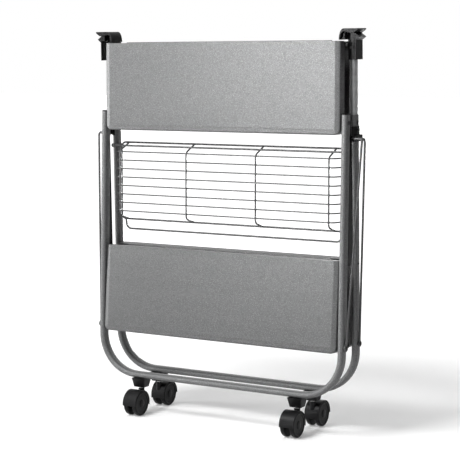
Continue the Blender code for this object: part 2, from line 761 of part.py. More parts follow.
def add_stay(end, sign, side_name, side, looks):
    """Side wire: an eye on the lower rivet, a straight run and a hooked end in the clip."""
    foot = (0, sign * leg_offset(LOWER_PIVOT_HEIGHT), LOWER_PIVOT_HEIGHT)
    axis = add_empty(f"{end}_{side_name}_stay_axis", foot)
    eye_low = LEG_OUTER + FIT
    eye_high = eye_low + STAY_EYE_THICKNESS

    def outward(a, b, c):
        return Vector((side * c, a, b))

    name = f"{end}_{side_name}_stay"
    stay = add_object(name, prism(circle(STAY_EYE_RADIUS), eye_low, eye_high, outward), looks["wire"], axis)
    top_out = LEG_OUTER + STAY_TOP_OUT
    end_x = LEG_OUTER + FIT + 2 * CLIP_WALL
    tip = Vector((0, sign * STAY_TOP_HALF_GAP, STAY_TOP)) - Vector(foot)
    start_x = eye_low + STAY_EYE_THICKNESS / 2
    corner = Vector((side * top_out, tip.y, tip.z))
    start = Vector((side * start_x, 0, 0)).lerp(corner, STAY_EYE_RADIUS * 0.8 / corner.z)
    path = rounded_path([start, corner, (side * end_x, tip.y, tip.z)], STAY_BEND)
    wire = bmesh.new()
    add_wire(wire, path, STAY_RADIUS, (0, 1, 0))
    combine(stay, "UNION", wire)
    combine(stay, "DIFFERENCE", prism(circle(RIVET_RADIUS + FIT, SMALL_SIDES), -LEG_OUTER * 2, LEG_OUTER * 2, along_x))


def add_basket(looks):
    """Wire basket: rim loop, floor wires, cross wires, fence rail and hanger wire, welded where they cross."""
    axis = add_empty("basket_axis", (0, HANGER_BACK, HANGER_HEIGHT))
    rim_half = LEG_INNER - BASKET_SIDE_GAP - RIM_RADIUS
    floor_half = rim_half - BASKET_FLARE
    floor_y = HANGER_BACK - BASKET_DEPTH * 0.4
    cross_y = floor_y - CROSS_WIRE_RADIUS - FLOOR_WIRE_RADIUS + WELD
    rim_y = floor_y + BASKET_DEPTH
    hang_rise = (HANGER_BACK - cross_y) / (rim_y - cross_y)
    rim_top = HANGER_HEIGHT - HANGER_RADIUS - CROSS_WIRE_RADIUS + WELD + (1 - hang_rise) * BASKET_TOP_FLARE
    rail_z = folded_hinge(LOWER_PIVOT_HEIGHT, LOWER_REACH) + RAIL_ABOVE_SHELF
    rim_bottom = rail_z + RAIL_DROP
    floor_top = rim_top - FLOOR_TOP_EDGE
    floor_pitch = (floor_top - rim_bottom - FLOOR_BOTTOM_EDGE) / (FLOOR_WIRES - 1)
    origin = Vector(axis.location)

    def local(x, y, z):
        return Vector((x, y, z)) - origin

    rim_points = [local(0, rim_y, rim_top)]
    for x, z in ((rim_half, rim_top), (rim_half, rim_bottom), (-rim_half, rim_bottom), (-rim_half, rim_top)):
        rim_points.append(local(x, rim_y, z))
    rim_points.append(local(0, rim_y, rim_top))
    rim = bmesh.new()
    add_wire(rim, rounded_path(rim_points, BASKET_BEND)[:-1], RIM_RADIUS, (0, 1, 0), closed=True)
    basket = add_object("basket", rim, looks["wire"], axis)
    floor_wires = bmesh.new()
    for number in range(FLOOR_WIRES):
        z = floor_top - number * floor_pitch
        corners = [(-rim_half, rim_y), (-floor_half, floor_y), (floor_half, floor_y), (rim_half, rim_y)]
        path = rounded_path([local(x, y, z) for x, y in corners], BASKET_BEND)
        add_wire(floor_wires, path, FLOOR_WIRE_RADIUS, (0, 0, 1))
    cross_wires = bmesh.new()
    for number in range(CROSS_WIRES):
        x = (number - (CROSS_WIRES - 1) / 2) * CROSS_WIRE_SPACING
        corners = [
            (rim_y, rim_top),
            (cross_y, rim_top - BASKET_TOP_FLARE),
            (cross_y, rim_bottom + BASKET_FLARE),
            (rim_y, rim_bottom),
        ]
        path = rounded_path([local(x, y, z) for y, z in corners], BASKET_BEND)
        add_wire(cross_wires, path, CROSS_WIRE_RADIUS, (1, 0, 0))
    rail = bmesh.new()
    rail_y = rim_y + RAIL_SET_BACK
    rail_corners = [
        (-floor_half, rim_y, rim_bottom),
        (-floor_half, rail_y, rail_z),
        (floor_half, rail_y, rail_z),
        (floor_half, rim_y, rim_bottom),
    ]
    slope = Vector((0, RAIL_DROP, RAIL_SET_BACK)).normalized()
    add_wire(rail, rounded_path([local(*p) for p in rail_corners], BASKET_BEND), FLOOR_WIRE_RADIUS, slope)
    hanger_half = LEG_INNER - HANGER_EYE_END - FIT
    hanger = bmesh.new()
    add_wire(hanger, [Vector((-hanger_half, 0, 0)), Vector((hanger_half, 0, 0))], HANGER_RADIUS, (0, 0, 1))
    combine(basket, "UNION", floor_wires, cross_wires, rail, hanger)


def wheel():
    """One wheel of a twin castor, with a blind hub bore facing the hood's web."""
    inside = WEB_THICKNESS / 2 + FIT
    outside = inside + WHEEL_WIDTH
    bore = AXLE_RADIUS + FIT
    profile = [
        (0, outside - AXLE_END_COVER),
        (bore, outside - AXLE_END_COVER),
        (bore, inside),
        (WHEEL_RADIUS - WHEEL_EDGE, inside),
        (WHEEL_RADIUS, inside + WHEEL_EDGE),
        (WHEEL_RADIUS, outside - WHEEL_EDGE),
        (WHEEL_RADIUS - WHEEL_EDGE, outside),
        (WHEEL_RADIUS - 2 * WHEEL_EDGE, outside - WHEEL_DISH),
        (0, outside - WHEEL_DISH),
    ]
    return turned(profile, WHEEL_SIDES)


def add_hood(name, look, parent):
    """Castor hood: a curved roof over both wheels, the web between them, the stem boss and the two bores."""
    roof_in = WHEEL_RADIUS + HOOD_GAP
    roof_out = roof_in + HOOD_WALL
    axle = (-CASTOR_TRAIL, WHEEL_RADIUS)
    start = math.pi - HOOD_LOW_ANGLE
    end = math.pi - HOOD_HIGH_ANGLE
    half = WEB_THICKNESS / 2 + FIT + WHEEL_WIDTH
    roof = arc(axle, (roof_out, roof_out), start, end, HOOD_STEPS) + arc(axle, (roof_in, roof_in), end, start, HOOD_STEPS)
    hood = add_object(name, prism(circle(BOSS_RADIUS), BOSS_BOTTOM, BOSS_TOP, along_z), look, parent)
    wheel_room = circle(WHEEL_RADIUS + FIT, WHEEL_SIDES, axle)
    combine(hood, "DIFFERENCE", prism(wheel_room, -half, half, along_x))
    middle_radius = (roof_in + roof_out) / 2
    web_start = start - HOOD_WEB_INSET
    web_end = end + HOOD_WEB_INSET
    web = arc(axle, (middle_radius, middle_radius), web_start, web_end, HOOD_STEPS)
    web += arc(axle, (HUB_RADIUS, HUB_RADIUS), web_end, web_start - 2 * math.pi, 6)
    web_half = WEB_THICKNESS / 2
    combine(hood, "UNION", prism(roof, -half, half, along_x), prism(web, -web_half, web_half, along_x))
    axle_hole = circle(AXLE_RADIUS + FIT, SMALL_SIDES, axle)
    combine(
        hood,
        "DIFFERENCE",
        prism(circle(STEM_RADIUS + FIT), STEM_BOTTOM - FIT, BAR_HEIGHT, along_z),
        prism(axle_hole, -half, half, along_x),
    )


def socket_block():
    """Tapered socket that saddles the underside of the bar."""
    shape = bmesh.new()
    top = BAR_HEIGHT - TUBE_WIDTH / 2 + SOCKET_SADDLE
    rings = []
    for size, height in ((SOCKET_BOTTOM_SIZE, SOCKET_BOTTOM), (SOCKET_TOP_SIZE, top)):
        outline = rectangle((-size[0] / 2, -size[1] / 2), (size[0] / 2, size[1] / 2))
        rings.append(ring(shape, outline, lambda a, b: Vector((a, b, height))))
    loft(shape, rings)
    return shape


def add_castors(looks):
    wheel_mesh = mesh_of("castor_wheel", wheel())
    for end, sign in ENDS.items():
        for side_name, side in SIDES.items():
            name = f"{end}_{side_name}"
            place = Vector((side * CASTOR_X, sign * leg_offset(BAR_HEIGHT), 0))
            socket = add_object(f"{name}_socket", socket_block(), looks["plastic"], None, place)
            saddle = flat_oval(TUBE_DEPTH, TUBE_WIDTH, FIT)
            lean = Matrix.Rotation(sign * SPLAY, 3, "X")
            bar = prism(
                saddle,
                -LEG_X,
                LEG_X,
                lambda a, b, c, lean=lean: lean @ Vector((c, b, a)) + Vector((0, 0, BAR_HEIGHT)),
            )
            stem_hole = prism(circle(STEM_RADIUS + FIT), 0, BAR_HEIGHT, along_z)
            combine(socket, "DIFFERENCE", bar, stem_hole)
            stem_top = BAR_HEIGHT - TUBE_WIDTH / 2 - 2 * FIT
            stem = prism(circle(STEM_RADIUS), STEM_BOTTOM, stem_top, along_z)
            add_object(f"{name}_stem", stem, looks["steel"], None, place)
            heading = (0, 0, 0 if sign < 0 else math.pi)
            swivel = add_empty(f"{name}_swivel", place, heading)
            add_hood(f"{name}_hood", looks["plastic"], swivel)
            centre = (0, -CASTOR_TRAIL, WHEEL_RADIUS)
            half = WEB_THICKNESS / 2 + WHEEL_WIDTH - AXLE_END_COVER
            pin = turned([(0, -half), (AXLE_RADIUS, -half), (AXLE_RADIUS, half), (0, half)], SMALL_SIDES)
            add_object(f"{name}_axle", pin, looks["steel"], swivel, centre)
            for wheel_side, heading in (("left", math.pi), ("right", 0)):
                made = add_object(f"{name}_{wheel_side}_wheel", wheel_mesh, looks["tyre"], swivel, centre)
                made.rotation_euler = (0, 0, heading)


def main():
    clear_scene()
    looks = {
        "paint": finish("hammered_silver_paint", (0.32, 0.33, 0.34), 0.42, 0.6),
        "plastic": finish("black_plastic", (0.015, 0.015, 0.016), 0.45, 0.0),
        "tyre": finish("wheel_plastic", (0.012, 0.012, 0.013), 0.55, 0.0),
        "steel": finish("plated_steel", (0.55, 0.55, 0.55), 0.3, 1.0),
        "dark": finish("dark_steel", (0.05, 0.05, 0.052), 0.4, 0.8),
        "wire": finish("coated_wire", (0.10, 0.10, 0.105), 0.4, 0.5),
    }
    for end, sign in ENDS.items():
        add_frame(end, sign, looks)
        for side_name, side in SIDES.items():
            add_stay(end, sign, side_name, side, looks)
    add_shelf("upper", UPPER_PIVOT_HEIGHT, UPPER_REACH, looks)
    add_shelf("lower", LOWER_PIVOT_HEIGHT, LOWER_REACH, looks)
    add_basket(looks)
    add_castors(looks)


main()
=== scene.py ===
"""Looks of the folding trolley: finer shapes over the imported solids, finishes, light and camera."""

import math

import bmesh
import bpy
from mathutils import Matrix, Vector


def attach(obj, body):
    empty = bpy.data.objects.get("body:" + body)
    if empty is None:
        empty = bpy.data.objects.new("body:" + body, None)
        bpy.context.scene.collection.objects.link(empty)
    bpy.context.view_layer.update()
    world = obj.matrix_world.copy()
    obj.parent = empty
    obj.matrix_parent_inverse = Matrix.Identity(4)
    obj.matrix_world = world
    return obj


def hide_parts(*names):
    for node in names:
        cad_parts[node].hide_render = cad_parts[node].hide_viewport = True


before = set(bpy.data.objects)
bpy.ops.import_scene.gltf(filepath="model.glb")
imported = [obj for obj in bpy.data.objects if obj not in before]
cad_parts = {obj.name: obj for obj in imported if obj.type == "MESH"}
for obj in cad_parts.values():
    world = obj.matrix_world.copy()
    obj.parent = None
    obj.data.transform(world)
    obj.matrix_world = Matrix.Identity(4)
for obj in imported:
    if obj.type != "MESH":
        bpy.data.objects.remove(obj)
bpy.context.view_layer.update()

# Sizes in metres, as in the solids, apart from TUBE_DEPTH: the photo shows slimmer tubes.
FIT = 0.0003
LEG_X = 0.275
TUBE_DEPTH = 0.0215
TUBE_WIDTH = 0.012
TUBE_WALL = 0.0012
LEG_TOP = 0.622
BAR_HEIGHT = 0.080
BEND_RADIUS = 0.082
SPLAY = math.radians(1.55)
UPPER_PIVOT = 0.607
LOWER_PIVOT = 0.1785
HALF_GAP = 0.0193
PANEL_SIDE_GAP = 0.0015
PANEL_LENGTH = 0.178
PANEL_OVERHANG = 0.023
PANEL_SHEET = 0.0012
FACE_TO_PIVOT = 0.0132
EXTENSION_WALL = 0.001
EXTENSION_INSERT = 0.060
EXTENSION_TOP = 0.779
CAP_TOP = 0.786
HANGER_BACK = -0.005
HANGER_HEIGHT = 0.5505
HANGER_RADIUS = 0.002
STAY_TOP = 0.577
STAY_HALF_GAP = 0.0065
STAY_EYE_WIDTH = 0.0034
CASTOR_X = 0.181
TRAIL = 0.020
WHEEL_RADIUS = 0.025

LEG_INNER = LEG_X - TUBE_WIDTH / 2
LEG_OUTER = LEG_X + TUBE_WIDTH / 2
PANEL_HALF = LEG_INNER - PANEL_SIDE_GAP
FACE_TO_HINGE = HALF_GAP + FACE_TO_PIVOT
SPREAD = (UPPER_PIVOT - LOWER_PIVOT) * math.tan(SPLAY)
UPPER_REACH = PANEL_LENGTH - PANEL_OVERHANG
LOWER_REACH = UPPER_REACH + SPREAD
SIDES = {"left": -1, "right": 1}
ENDS = {"front": -1, "rear": 1}

# Edges that turn by more than this are drawn sharp, or bevelled.
CREASE = math.radians(35)


def leg_offset(height):
    """Distance of a leg's middle from the plane between the frames."""
    return HALF_GAP + (UPPER_PIVOT - height) * math.tan(SPLAY)


def along_leg(height):
    """Height in a leaning frame's own axes, from its upper pivots."""
    return (height - UPPER_PIVOT) / math.cos(SPLAY)


def folded_tilt(reach, half_gap):
    """Lean of a folded half panel whose pivots lie half_gap from the middle plane."""
    arm = math.hypot(reach, HALF_GAP)
    return math.asin(half_gap / arm) - math.atan2(HALF_GAP, reach)


def frame_place(sign):
    """From a leaning frame's own axes, at its upper pivots, to the model's axes."""
    pivots = Matrix.Translation((0, sign * HALF_GAP, UPPER_PIVOT))
    return pivots @ Matrix.Rotation(sign * SPLAY, 4, "X")


def leg_place(sign, side):
    """From a leg's own axes, at its upper pivot, to the model's axes."""
    return frame_place(sign) @ Matrix.Translation((side * LEG_X, 0, 0))


def in_rear_frame(back, height):
    """World depth and height in the leaning rear frame's own axes."""
    depth, rise = back - HALF_GAP, height - UPPER_PIVOT
    return (
        depth * math.cos(SPLAY) + rise * math.sin(SPLAY),
        rise * math.cos(SPLAY) - depth * math.sin(SPLAY),
    )


def facing_out(side):
    """Turns what is drawn for the right side to face left where side is negative."""
    return Matrix.Rotation(0 if side > 0 else math.pi, 4, "Z")


# Shape helpers.


def arc(centre, radii, start, end, steps):
    points = []
    for step in range(steps + 1):
        angle = start + (end - start) * step / steps
        across = centre[0] + radii[0] * math.cos(angle)
        points.append((across, centre[1] + radii[1] * math.sin(angle)))
    return points


def circle(radius, sides):
    return arc((0, 0), (radius, radius), 0, 2 * math.pi * (1 - 1 / sides), sides - 1)


def flat_oval(depth, width, grow=0.0, steps=12):
    radius = width / 2 + grow
    middle = (depth - width) / 2
    upper = arc((0, middle), (radius, radius), 0, math.pi, steps)
    lower = arc((0, -middle), (radius, radius), math.pi, 2 * math.pi, steps)
    return upper + lower


def rounded_box(low, high, radius, steps=4):
    points = []
    corners = ((high[0], high[1]), (low[0], high[1]), (low[0], low[1]), (high[0], low[1]))
    for quarter, (x, y) in enumerate(corners):
        cx = x - radius if quarter in (0, 3) else x + radius
        cy = y - radius if quarter in (0, 1) else y + radius
        start = quarter * math.pi / 2
        points += arc((cx, cy), (radius, radius), start, start + math.pi / 2, steps)
    return points


def skin(shape, near, far):
    count = len(near)
    for i in range(count):
        j = (i + 1) % count
        shape.faces.new((near[i], near[j], far[j], far[i]))


def ring(shape, outline, place):
    return [shape.verts.new(place(a, b)) for a, b in outline]


def loft(shape, rings):
    for near, far in zip(rings, rings[1:]):
        skin(shape, near, far)
    shape.faces.new(rings[0])
    shape.faces.new(rings[-1])


def prism(shape, outline, low, high, place):
    loft(shape, [ring(shape, outline, lambda a, b, c=c: place(a, b, c)) for c in (low, high)])


def along_x(a, b, c):
    return Vector((c, a, b))


def turned(profile, sides):
    """Solid of revolution about X from (radius, x) points."""
    shape = bmesh.new()
    rows = []
    for radius, x in profile:
        if radius == 0:
            rows.append([shape.verts.new((x, 0, 0))])
        else:
            rows.append(ring(shape, circle(radius, sides), lambda a, b: Vector((x, a, b))))
    for near, far in zip(rows, rows[1:]):
        if len(near) > 1 and len(far) > 1:
            skin(shape, near, far)
            continue
        tip, base = (near[0], far) if len(near) == 1 else (far[0], near)
        for i in range(sides):
            shape.faces.new((tip, base[i], base[(i + 1) % sides]))
    return shape


def rounded_path(points, radius, steps=6):
    path = [Vector(points[0])]
    for before, corner, after in zip(points, points[1:], points[2:]):
        corner = Vector(corner)
        back = (Vector(before) - corner).normalized()
        ahead = (Vector(after) - corner).normalized()
        half = back.angle(ahead) / 2
        centre = corner + (back + ahead).normalized() * radius / math.sin(half)
        start = corner + back * radius / math.tan(half) - centre
        end = corner + ahead * radius / math.tan(half) - centre
        turn = start.angle(end)
        for step in range(steps + 1):
            share = step / steps
            mix = start * math.sin((1 - share) * turn) + end * math.sin(share * turn)
            path.append(centre + mix / math.sin(turn))
    path.append(Vector(points[-1]))
    return path


def add_wire(shape, path, radius, side_axis, closed=False, sides=12):
    side = Vector(side_axis)
    count = len(path)
    rings = []
    for i, point in enumerate(path):
        before = path[i - 1] if i or closed else point
        after = path[(i + 1) % count] if i < count - 1 or closed else point
        ahead = (after - before).normalized()
        across = side.cross(ahead).normalized()
        lift = ahead.cross(across)
        section = circle(radius, sides)
        rings.append(ring(shape, section, lambda a, b: point + across * a + lift * b))
    if closed:
        for i in range(count):
            skin(shape, rings[i - 1], rings[i])
        return
    loft(shape, rings)


def add_piece(name, shape, look, body, stands_for=(), place=None, bevel=0.0):
    """Puts a finished shape in the scene, on its body, with its finish and what it stands for."""
    bmesh.ops.recalc_face_normals(shape, faces=shape.faces)
    mesh = bpy.data.meshes.new(name)
    shape.to_mesh(mesh)
    shape.free()
    if place is not None:
        mesh.transform(place)
    mesh.shade_smooth()
    mesh.set_sharp_from_angle(angle=CREASE)
    mesh.materials.append(look)
    made = bpy.data.objects.new(name, mesh)
    bpy.context.scene.collection.objects.link(made)
    if bevel:
        soften = made.modifiers.new("soft_edges", "BEVEL")
        soften.width = bevel
        soften.segments = 2
        soften.limit_method = "ANGLE"
        soften.angle_limit = CREASE
    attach(made, body)
    if stands_for:
        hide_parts(*stands_for)


# Finishes.


def new_look(name):
    look = bpy.data.materials.new(name)
    look.use_nodes = True
    tree = look.node_tree
    return look, tree, tree.nodes["Principled BSDF"]


def node(tree, kind, **values):
    made = tree.nodes.new(kind)
    for key, value in values.items():
        if key in made.inputs:
            made.inputs[key].default_value = value
        else:
            setattr(made, key, value)
    return made


def object_texture(tree, where, kind, **values):
    made = node(tree, kind, **values)
    tree.links.new(where, made.inputs["Vector"])
    return made


def ramp(tree, source, stops):
    made = node(tree, "ShaderNodeValToRGB")
    made.color_ramp.elements[0].position = stops[0][0]
    made.color_ramp.elements[0].color = (*stops[0][1], 1)
    made.color_ramp.elements[1].position = stops[-1][0]
    made.color_ramp.elements[1].color = (*stops[-1][1], 1)
    for position, colour in stops[1:-1]:
        made.color_ramp.elements.new(position).color = (*colour, 1)
    tree.links.new(source, made.inputs["Fac"])
    return made.outputs["Color"]


def map_value(tree, source, low, high, source_low=0.0, source_high=1.0):
    made = node(tree, "ShaderNodeMapRange")
    made.inputs["From Min"].default_value = source_low
    made.inputs["From Max"].default_value = source_high
    made.inputs["To Min"].default_value = low
    made.inputs["To Max"].default_value = high
    tree.links.new(source, made.inputs["Value"])
    return made.outputs["Result"]


def bump(tree, shader, height, strength, distance):
    made = node(tree, "ShaderNodeBump", Strength=strength, Distance=distance)
    tree.links.new(height, made.inputs["Height"])
    tree.links.new(made.outputs["Normal"], shader.inputs["Normal"])


def hammered_look(name, dark, light, roughness, metallic, cell):
    """Hammer-finish paint: rounded cells with darker veins between them, and a fine metal fleck."""
    vein_width, cell_weight = 0.32, 0.62
    fleck_low, fleck_high = -0.12, 0.5
    look, tree, shader = new_look(name)
    where = node(tree, "ShaderNodeTexCoord").outputs["Object"]
    warp = object_texture(tree, where, "ShaderNodeTexNoise", Scale=1.1 / cell, Detail=2.0)
    shift = node(tree, "ShaderNodeVectorMath", operation="MULTIPLY_ADD")
    shift.inputs[1].default_value = (cell * 0.9,) * 3
    tree.links.new(warp.outputs["Color"], shift.inputs[0])
    tree.links.new(where, shift.inputs[2])
    cells = object_texture(
        tree,
        shift.outputs["Vector"],
        "ShaderNodeTexVoronoi",
        feature="DISTANCE_TO_EDGE",
        Scale=1 / cell,
    )
    fleck = object_texture(
        tree, where, "ShaderNodeTexNoise", Scale=1.8 / cell, Detail=3.0, Roughness=0.6
    )
    vein = map_value(tree, cells.outputs["Distance"], 0, 1, source_high=vein_width)
    mixed = node(tree, "ShaderNodeMath", operation="MULTIPLY_ADD")
    mixed.inputs[1].default_value = cell_weight
    tree.links.new(vein, mixed.inputs[0])
    spread = map_value(tree, fleck.outputs["Fac"], fleck_low, fleck_high)
    tree.links.new(spread, mixed.inputs[2])
    tone = mixed.outputs["Value"]
    middle = [(a + b) / 2 for a, b in zip(dark, light)]
    colour = ramp(tree, tone, [(0.0, dark), (0.55, middle), (1.0, light)])
    tree.links.new(colour, shader.inputs["Base Color"])
    dulled = map_value(tree, tone, roughness + 0.1, roughness - 0.06)
    tree.links.new(dulled, shader.inputs["Roughness"])
    shader.inputs["Metallic"].default_value = metallic
    bump(tree, shader, tone, strength=0.42, distance=cell * 0.12)
    return look


def metal_look(name, colour, roughness, metallic, scale, depth):
    """Smooth metal or thin coating with a faint grain and dulled patches."""
    look, tree, shader = new_look(name)
    where = node(tree, "ShaderNodeTexCoord").outputs["Object"]
    patches = object_texture(tree, where, "ShaderNodeTexNoise", Scale=scale / 12, Detail=3.0)
    grain = object_texture(
        tree, where, "ShaderNodeTexNoise", Scale=scale, Detail=4.0, Roughness=0.65
    )
    low = [c * 0.78 for c in colour]
    high = [min(1.0, c * 1.14) for c in colour]
    patched = ramp(tree, patches.outputs["Fac"], [(0.3, low), (0.7, high)])
    tree.links.new(patched, shader.inputs["Base Color"])
    dulled = map_value(tree, grain.outputs["Fac"], roughness - 0.08, roughness + 0.12)
    tree.links.new(dulled, shader.inputs["Roughness"])
    shader.inputs["Metallic"].default_value = metallic
    bump(tree, shader, grain.outputs["Fac"], strength=0.25, distance=depth)
    return look


def plastic_look(name, colour, roughness, grain_size):
    """Moulded plastic: fine grain, slight tone drift and weak highlights."""
    look, tree, shader = new_look(name)
    where = node(tree, "ShaderNodeTexCoord").outputs["Object"]
    grain = object_texture(
        tree, where, "ShaderNodeTexNoise", Scale=1 / grain_size, Detail=4.0, Roughness=0.7
    )
    drift = object_texture(tree, where, "ShaderNodeTexNoise", Scale=45.0, Detail=2.0)
    low = [c * 0.7 for c in colour]
    high = [c * 1.5 for c in colour]
    drifted = ramp(tree, drift.outputs["Fac"], [(0.25, low), (0.75, high)])
    tree.links.new(drifted, shader.inputs["Base Color"])
    dulled = map_value(tree, grain.outputs["Fac"], roughness - 0.1, roughness + 0.12)
    tree.links.new(dulled, shader.inputs["Roughness"])
    shader.inputs["Specular IOR Level"].default_value = 0.13
    bump(tree, shader, grain.outputs["Fac"], strength=0.3, distance=grain_size * 0.35)
    return look


panel_paint = hammered_look(
    "panel_hammer_paint",
    dark=(0.047, 0.0475, 0.048),
    light=(0.146, 0.1473, 0.1486),
    roughness=0.38,
    metallic=0.45,
    cell=0.0026,
)
tube_paint = hammered_look(
    "tube_hammer_paint",
    dark=(0.060, 0.0606, 0.0612),
    light=(0.20, 0.202, 0.204),
    roughness=0.5,
    metallic=0.3,
    cell=0.0022,
)
sleeve_paint = metal_look(
    "extension_paint",
    colour=(0.36, 0.3625, 0.365),
    roughness=0.5,
    metallic=0.35,
    scale=900.0,
    depth=0.0001,
)
steel = metal_look(
    "plated_steel",
    colour=(0.45, 0.45, 0.45),
    roughness=0.32,
    metallic=1.0,
    scale=1200.0,
    depth=0.00005,
)
dark_steel = metal_look(
    "dark_steel",
    colour=(0.03, 0.03, 0.031),
    roughness=0.42,
    metallic=0.7,
    scale=1200.0,
    depth=0.00005,
)
wire_coat = metal_look(
    "wire_coating",
    colour=(0.075, 0.075, 0.0765),
    roughness=0.42,
    metallic=0.5,
    scale=1100.0,
    depth=0.00006,
)
black_plastic = plastic_look(
    "black_plastic", colour=(0.006, 0.006, 0.0064), roughness=0.36, grain_size=0.0012
)
wheel_plastic = plastic_look(
    "wheel_plastic", colour=(0.005, 0.005, 0.0054), roughness=0.36, grain_size=0.0016
)

# Frames.


def u_stations(steps):
    """Points down one leg, along the bar and up the other, each with its outward direction."""
    bar = along_leg(BAR_HEIGHT)
    inner = LEG_X - BEND_RADIUS
    top = along_leg(LEG_TOP)
    stations = [((-LEG_X, top), (-1, 0))]
    for side, start, end in ((-1, math.pi, 1.5 * math.pi), (1, 1.5 * math.pi, 2 * math.pi)):
        centre = (side * inner, bar + BEND_RADIUS)
        points = arc(centre, (BEND_RADIUS, BEND_RADIUS), start, end, steps)
        stations += zip(points, arc((0, 0), (1, 1), start, end, steps))
    stations.append(((LEG_X, top), (1, 0)))
    return stations


def u_tube(bend_steps=20):
    shape = bmesh.new()
    walls = []
    for grow in (0, -TUBE_WALL):
        outline = flat_oval(TUBE_DEPTH, TUBE_WIDTH, grow)
        rings = []
        for (x, z), (nx, nz) in u_stations(bend_steps):
            rings.append(ring(shape, outline, lambda a, b: Vector((x + nx * a, b, z + nz * a))))
        for near, far in zip(rings, rings[1:]):
            skin(shape, near, far)
        walls.append(rings)
    skin(shape, walls[0][0], walls[1][0])
    skin(shape, walls[0][-1], walls[1][-1])
    return shape


def hanger_eye(shape, side):
    """Flat-bar eye on the inner face of a rear leg, with its bore as a second wall."""
    radius, arm_half, arm_end = 0.004, 0.0025, -0.0005
    bore_radius, bore_half, bore_end = 0.0023, 0.001, 0.0021
    width, sunk, steps = 0.006, 0.0006, 21
    eye_y, eye_z = in_rear_frame(HANGER_BACK, HANGER_HEIGHT)
    start = math.asin(arm_half / radius)
    end = 2 * math.pi - start
    outline = arc((eye_y, eye_z), (radius, radius), start, end, steps)
    outline += [(arm_end, eye_z - arm_half), (arm_end, eye_z + arm_half)]
    bore = arc((eye_y, eye_z), (bore_radius, bore_radius), start, end, steps)
    bore += [(eye_y + bore_end, eye_z - bore_half), (eye_y + bore_end, eye_z + bore_half)]
    rings = []
    for path in (outline, bore):
        for x in (LEG_INNER - width, LEG_INNER + sunk):
            rings.append(ring(shape, path, lambda a, b: Vector((side * x, a, b))))
    for near, far in ((0, 1), (2, 3), (0, 2), (1, 3)):
        skin(shape, rings[near], rings[far])


def rivet(stand):
    """Rivet through panel and leg, with a collar between; stand is what lies outside the leg."""
    head, height, shank = 0.0045, 0.0018, 0.003
    inside = PANEL_HALF - PANEL_SHEET - FIT
    outside = LEG_OUTER + stand + FIT
    dome = arc((0, outside), (head, height), 0, math.pi / 2, 7)
    low = arc((0, inside), (head, -height), math.pi / 2, 0, 5)
    profile = [(0, inside - height)] + low[1:]
    profile += [
        (shank, inside),
        (shank, PANEL_HALF + FIT),
        (head, PANEL_HALF + FIT),
        (head, LEG_INNER - FIT),
        (shank, LEG_INNER - FIT),
        (shank, outside),
    ]
    return turned(profile + dome[:-1] + [(0, outside + height)], 24)


def riser_shape():
    """Extension tube, a sliding fit in the leg's bore."""
    shape = bmesh.new()
    depth = TUBE_DEPTH - 2 * TUBE_WALL - 2 * FIT
    width = TUBE_WIDTH - 2 * TUBE_WALL - 2 * FIT
    levels = (along_leg(LEG_TOP) - EXTENSION_INSERT, along_leg(EXTENSION_TOP))
    walls = []
    for grow in (0, -EXTENSION_WALL):
        outline = flat_oval(depth, width, grow)
        walls.append([ring(shape, outline, lambda a, b: Vector((a, b, z))) for z in levels])
        skin(shape, *walls[-1])
    for end in (0, 1):
        skin(shape, walls[0][end], walls[1][end])
    return shape


def plug_shape():
    """Leg-top plug: a tapered spigot in the tube and a low domed cap on its rim."""
    spigot = 0.009
    dome = ((0.0001, 0), (0, 0.0004), (0, 0.0009), (0.0005, 0.0014), (0.0016, 0.0016))
    shape = bmesh.new()
    top = along_leg(LEG_TOP)
    levels = [(-TUBE_WALL - 2 * FIT, top - spigot), (-TUBE_WALL - FIT, top + FIT)]
    levels += [(-inset, top + FIT + rise) for inset, rise in dome]
    rings = []
    for grow, z in levels:
        outline = flat_oval(TUBE_DEPTH, TUBE_WIDTH, grow)
        rings.append(ring(shape, outline, lambda a, b: Vector((a, b, z))))
    loft(shape, rings)
    return shape


RIVET_LEVELS = (("upper", UPPER_PIVOT, 0), ("lower", LOWER_PIVOT, STAY_EYE_WIDTH + FIT))
for end, sign in ENDS.items():
    place = frame_place(sign)
    body = f"{end}_frame"
    tube = u_tube()
    if end == "rear":
        for side in SIDES.values():
            hanger_eye(tube, side)
    add_piece(f"{end}_tube", tube, tube_paint, body, [f"{end}_frame_tube"], place)
    for level, height, stand in RIVET_LEVELS:
        for side_name, side in SIDES.items():
            spot = place @ Matrix.Translation((0, 0, along_leg(height))) @ facing_out(side)
            name = f"{level}_{end}_{side_name}_rivet"
            add_piece(f"{name}_head", rivet(stand), dark_steel, body, [name], spot)

for side_name, side in SIDES.items():
    add_piece(
        f"{side_name}_riser",
        riser_shape(),
        sleeve_paint,
        "rear_frame",
        [f"{side_name}_extension_tube"],
        leg_place(1, side),
    )
    name = f"front_{side_name}_leg_plug"
    add_piece(
        f"{name}_cap",
        plug_shape(),
        black_plastic,
        "front_frame",
        [name],
        leg_place(-1, side),
    )

# Shelf panels, drawn with the hinge at the origin, Y towards the pivots and Z out of the face.
PANEL_CORNER = 0.012
PANEL_CORNER_LEAST = 0.0012
PANEL_CORNER_STEPS = 8
PANEL_MEETING_GAP = 0.0004
PANEL_EAR_LENGTH = 0.014
PANEL_EAR_SLOPE = 0.006
EAR = UPPER_REACH - PANEL_EAR_LENGTH


def panel_outline(inset):
    half = PANEL_HALF - inset
    far = PANEL_LENGTH - inset
    radius = max(PANEL_CORNER - inset, PANEL_CORNER_LEAST)
    centre = (half - radius, far - radius)
    corner = arc(centre, (radius, radius), 0, math.pi / 2, PANEL_CORNER_STEPS)
    side = [(half, PANEL_MEETING_GAP), (half, EAR - PANEL_EAR_SLOPE), (half, EAR)] + corner
    return side + [(-x, y) for x, y in reversed(side)]


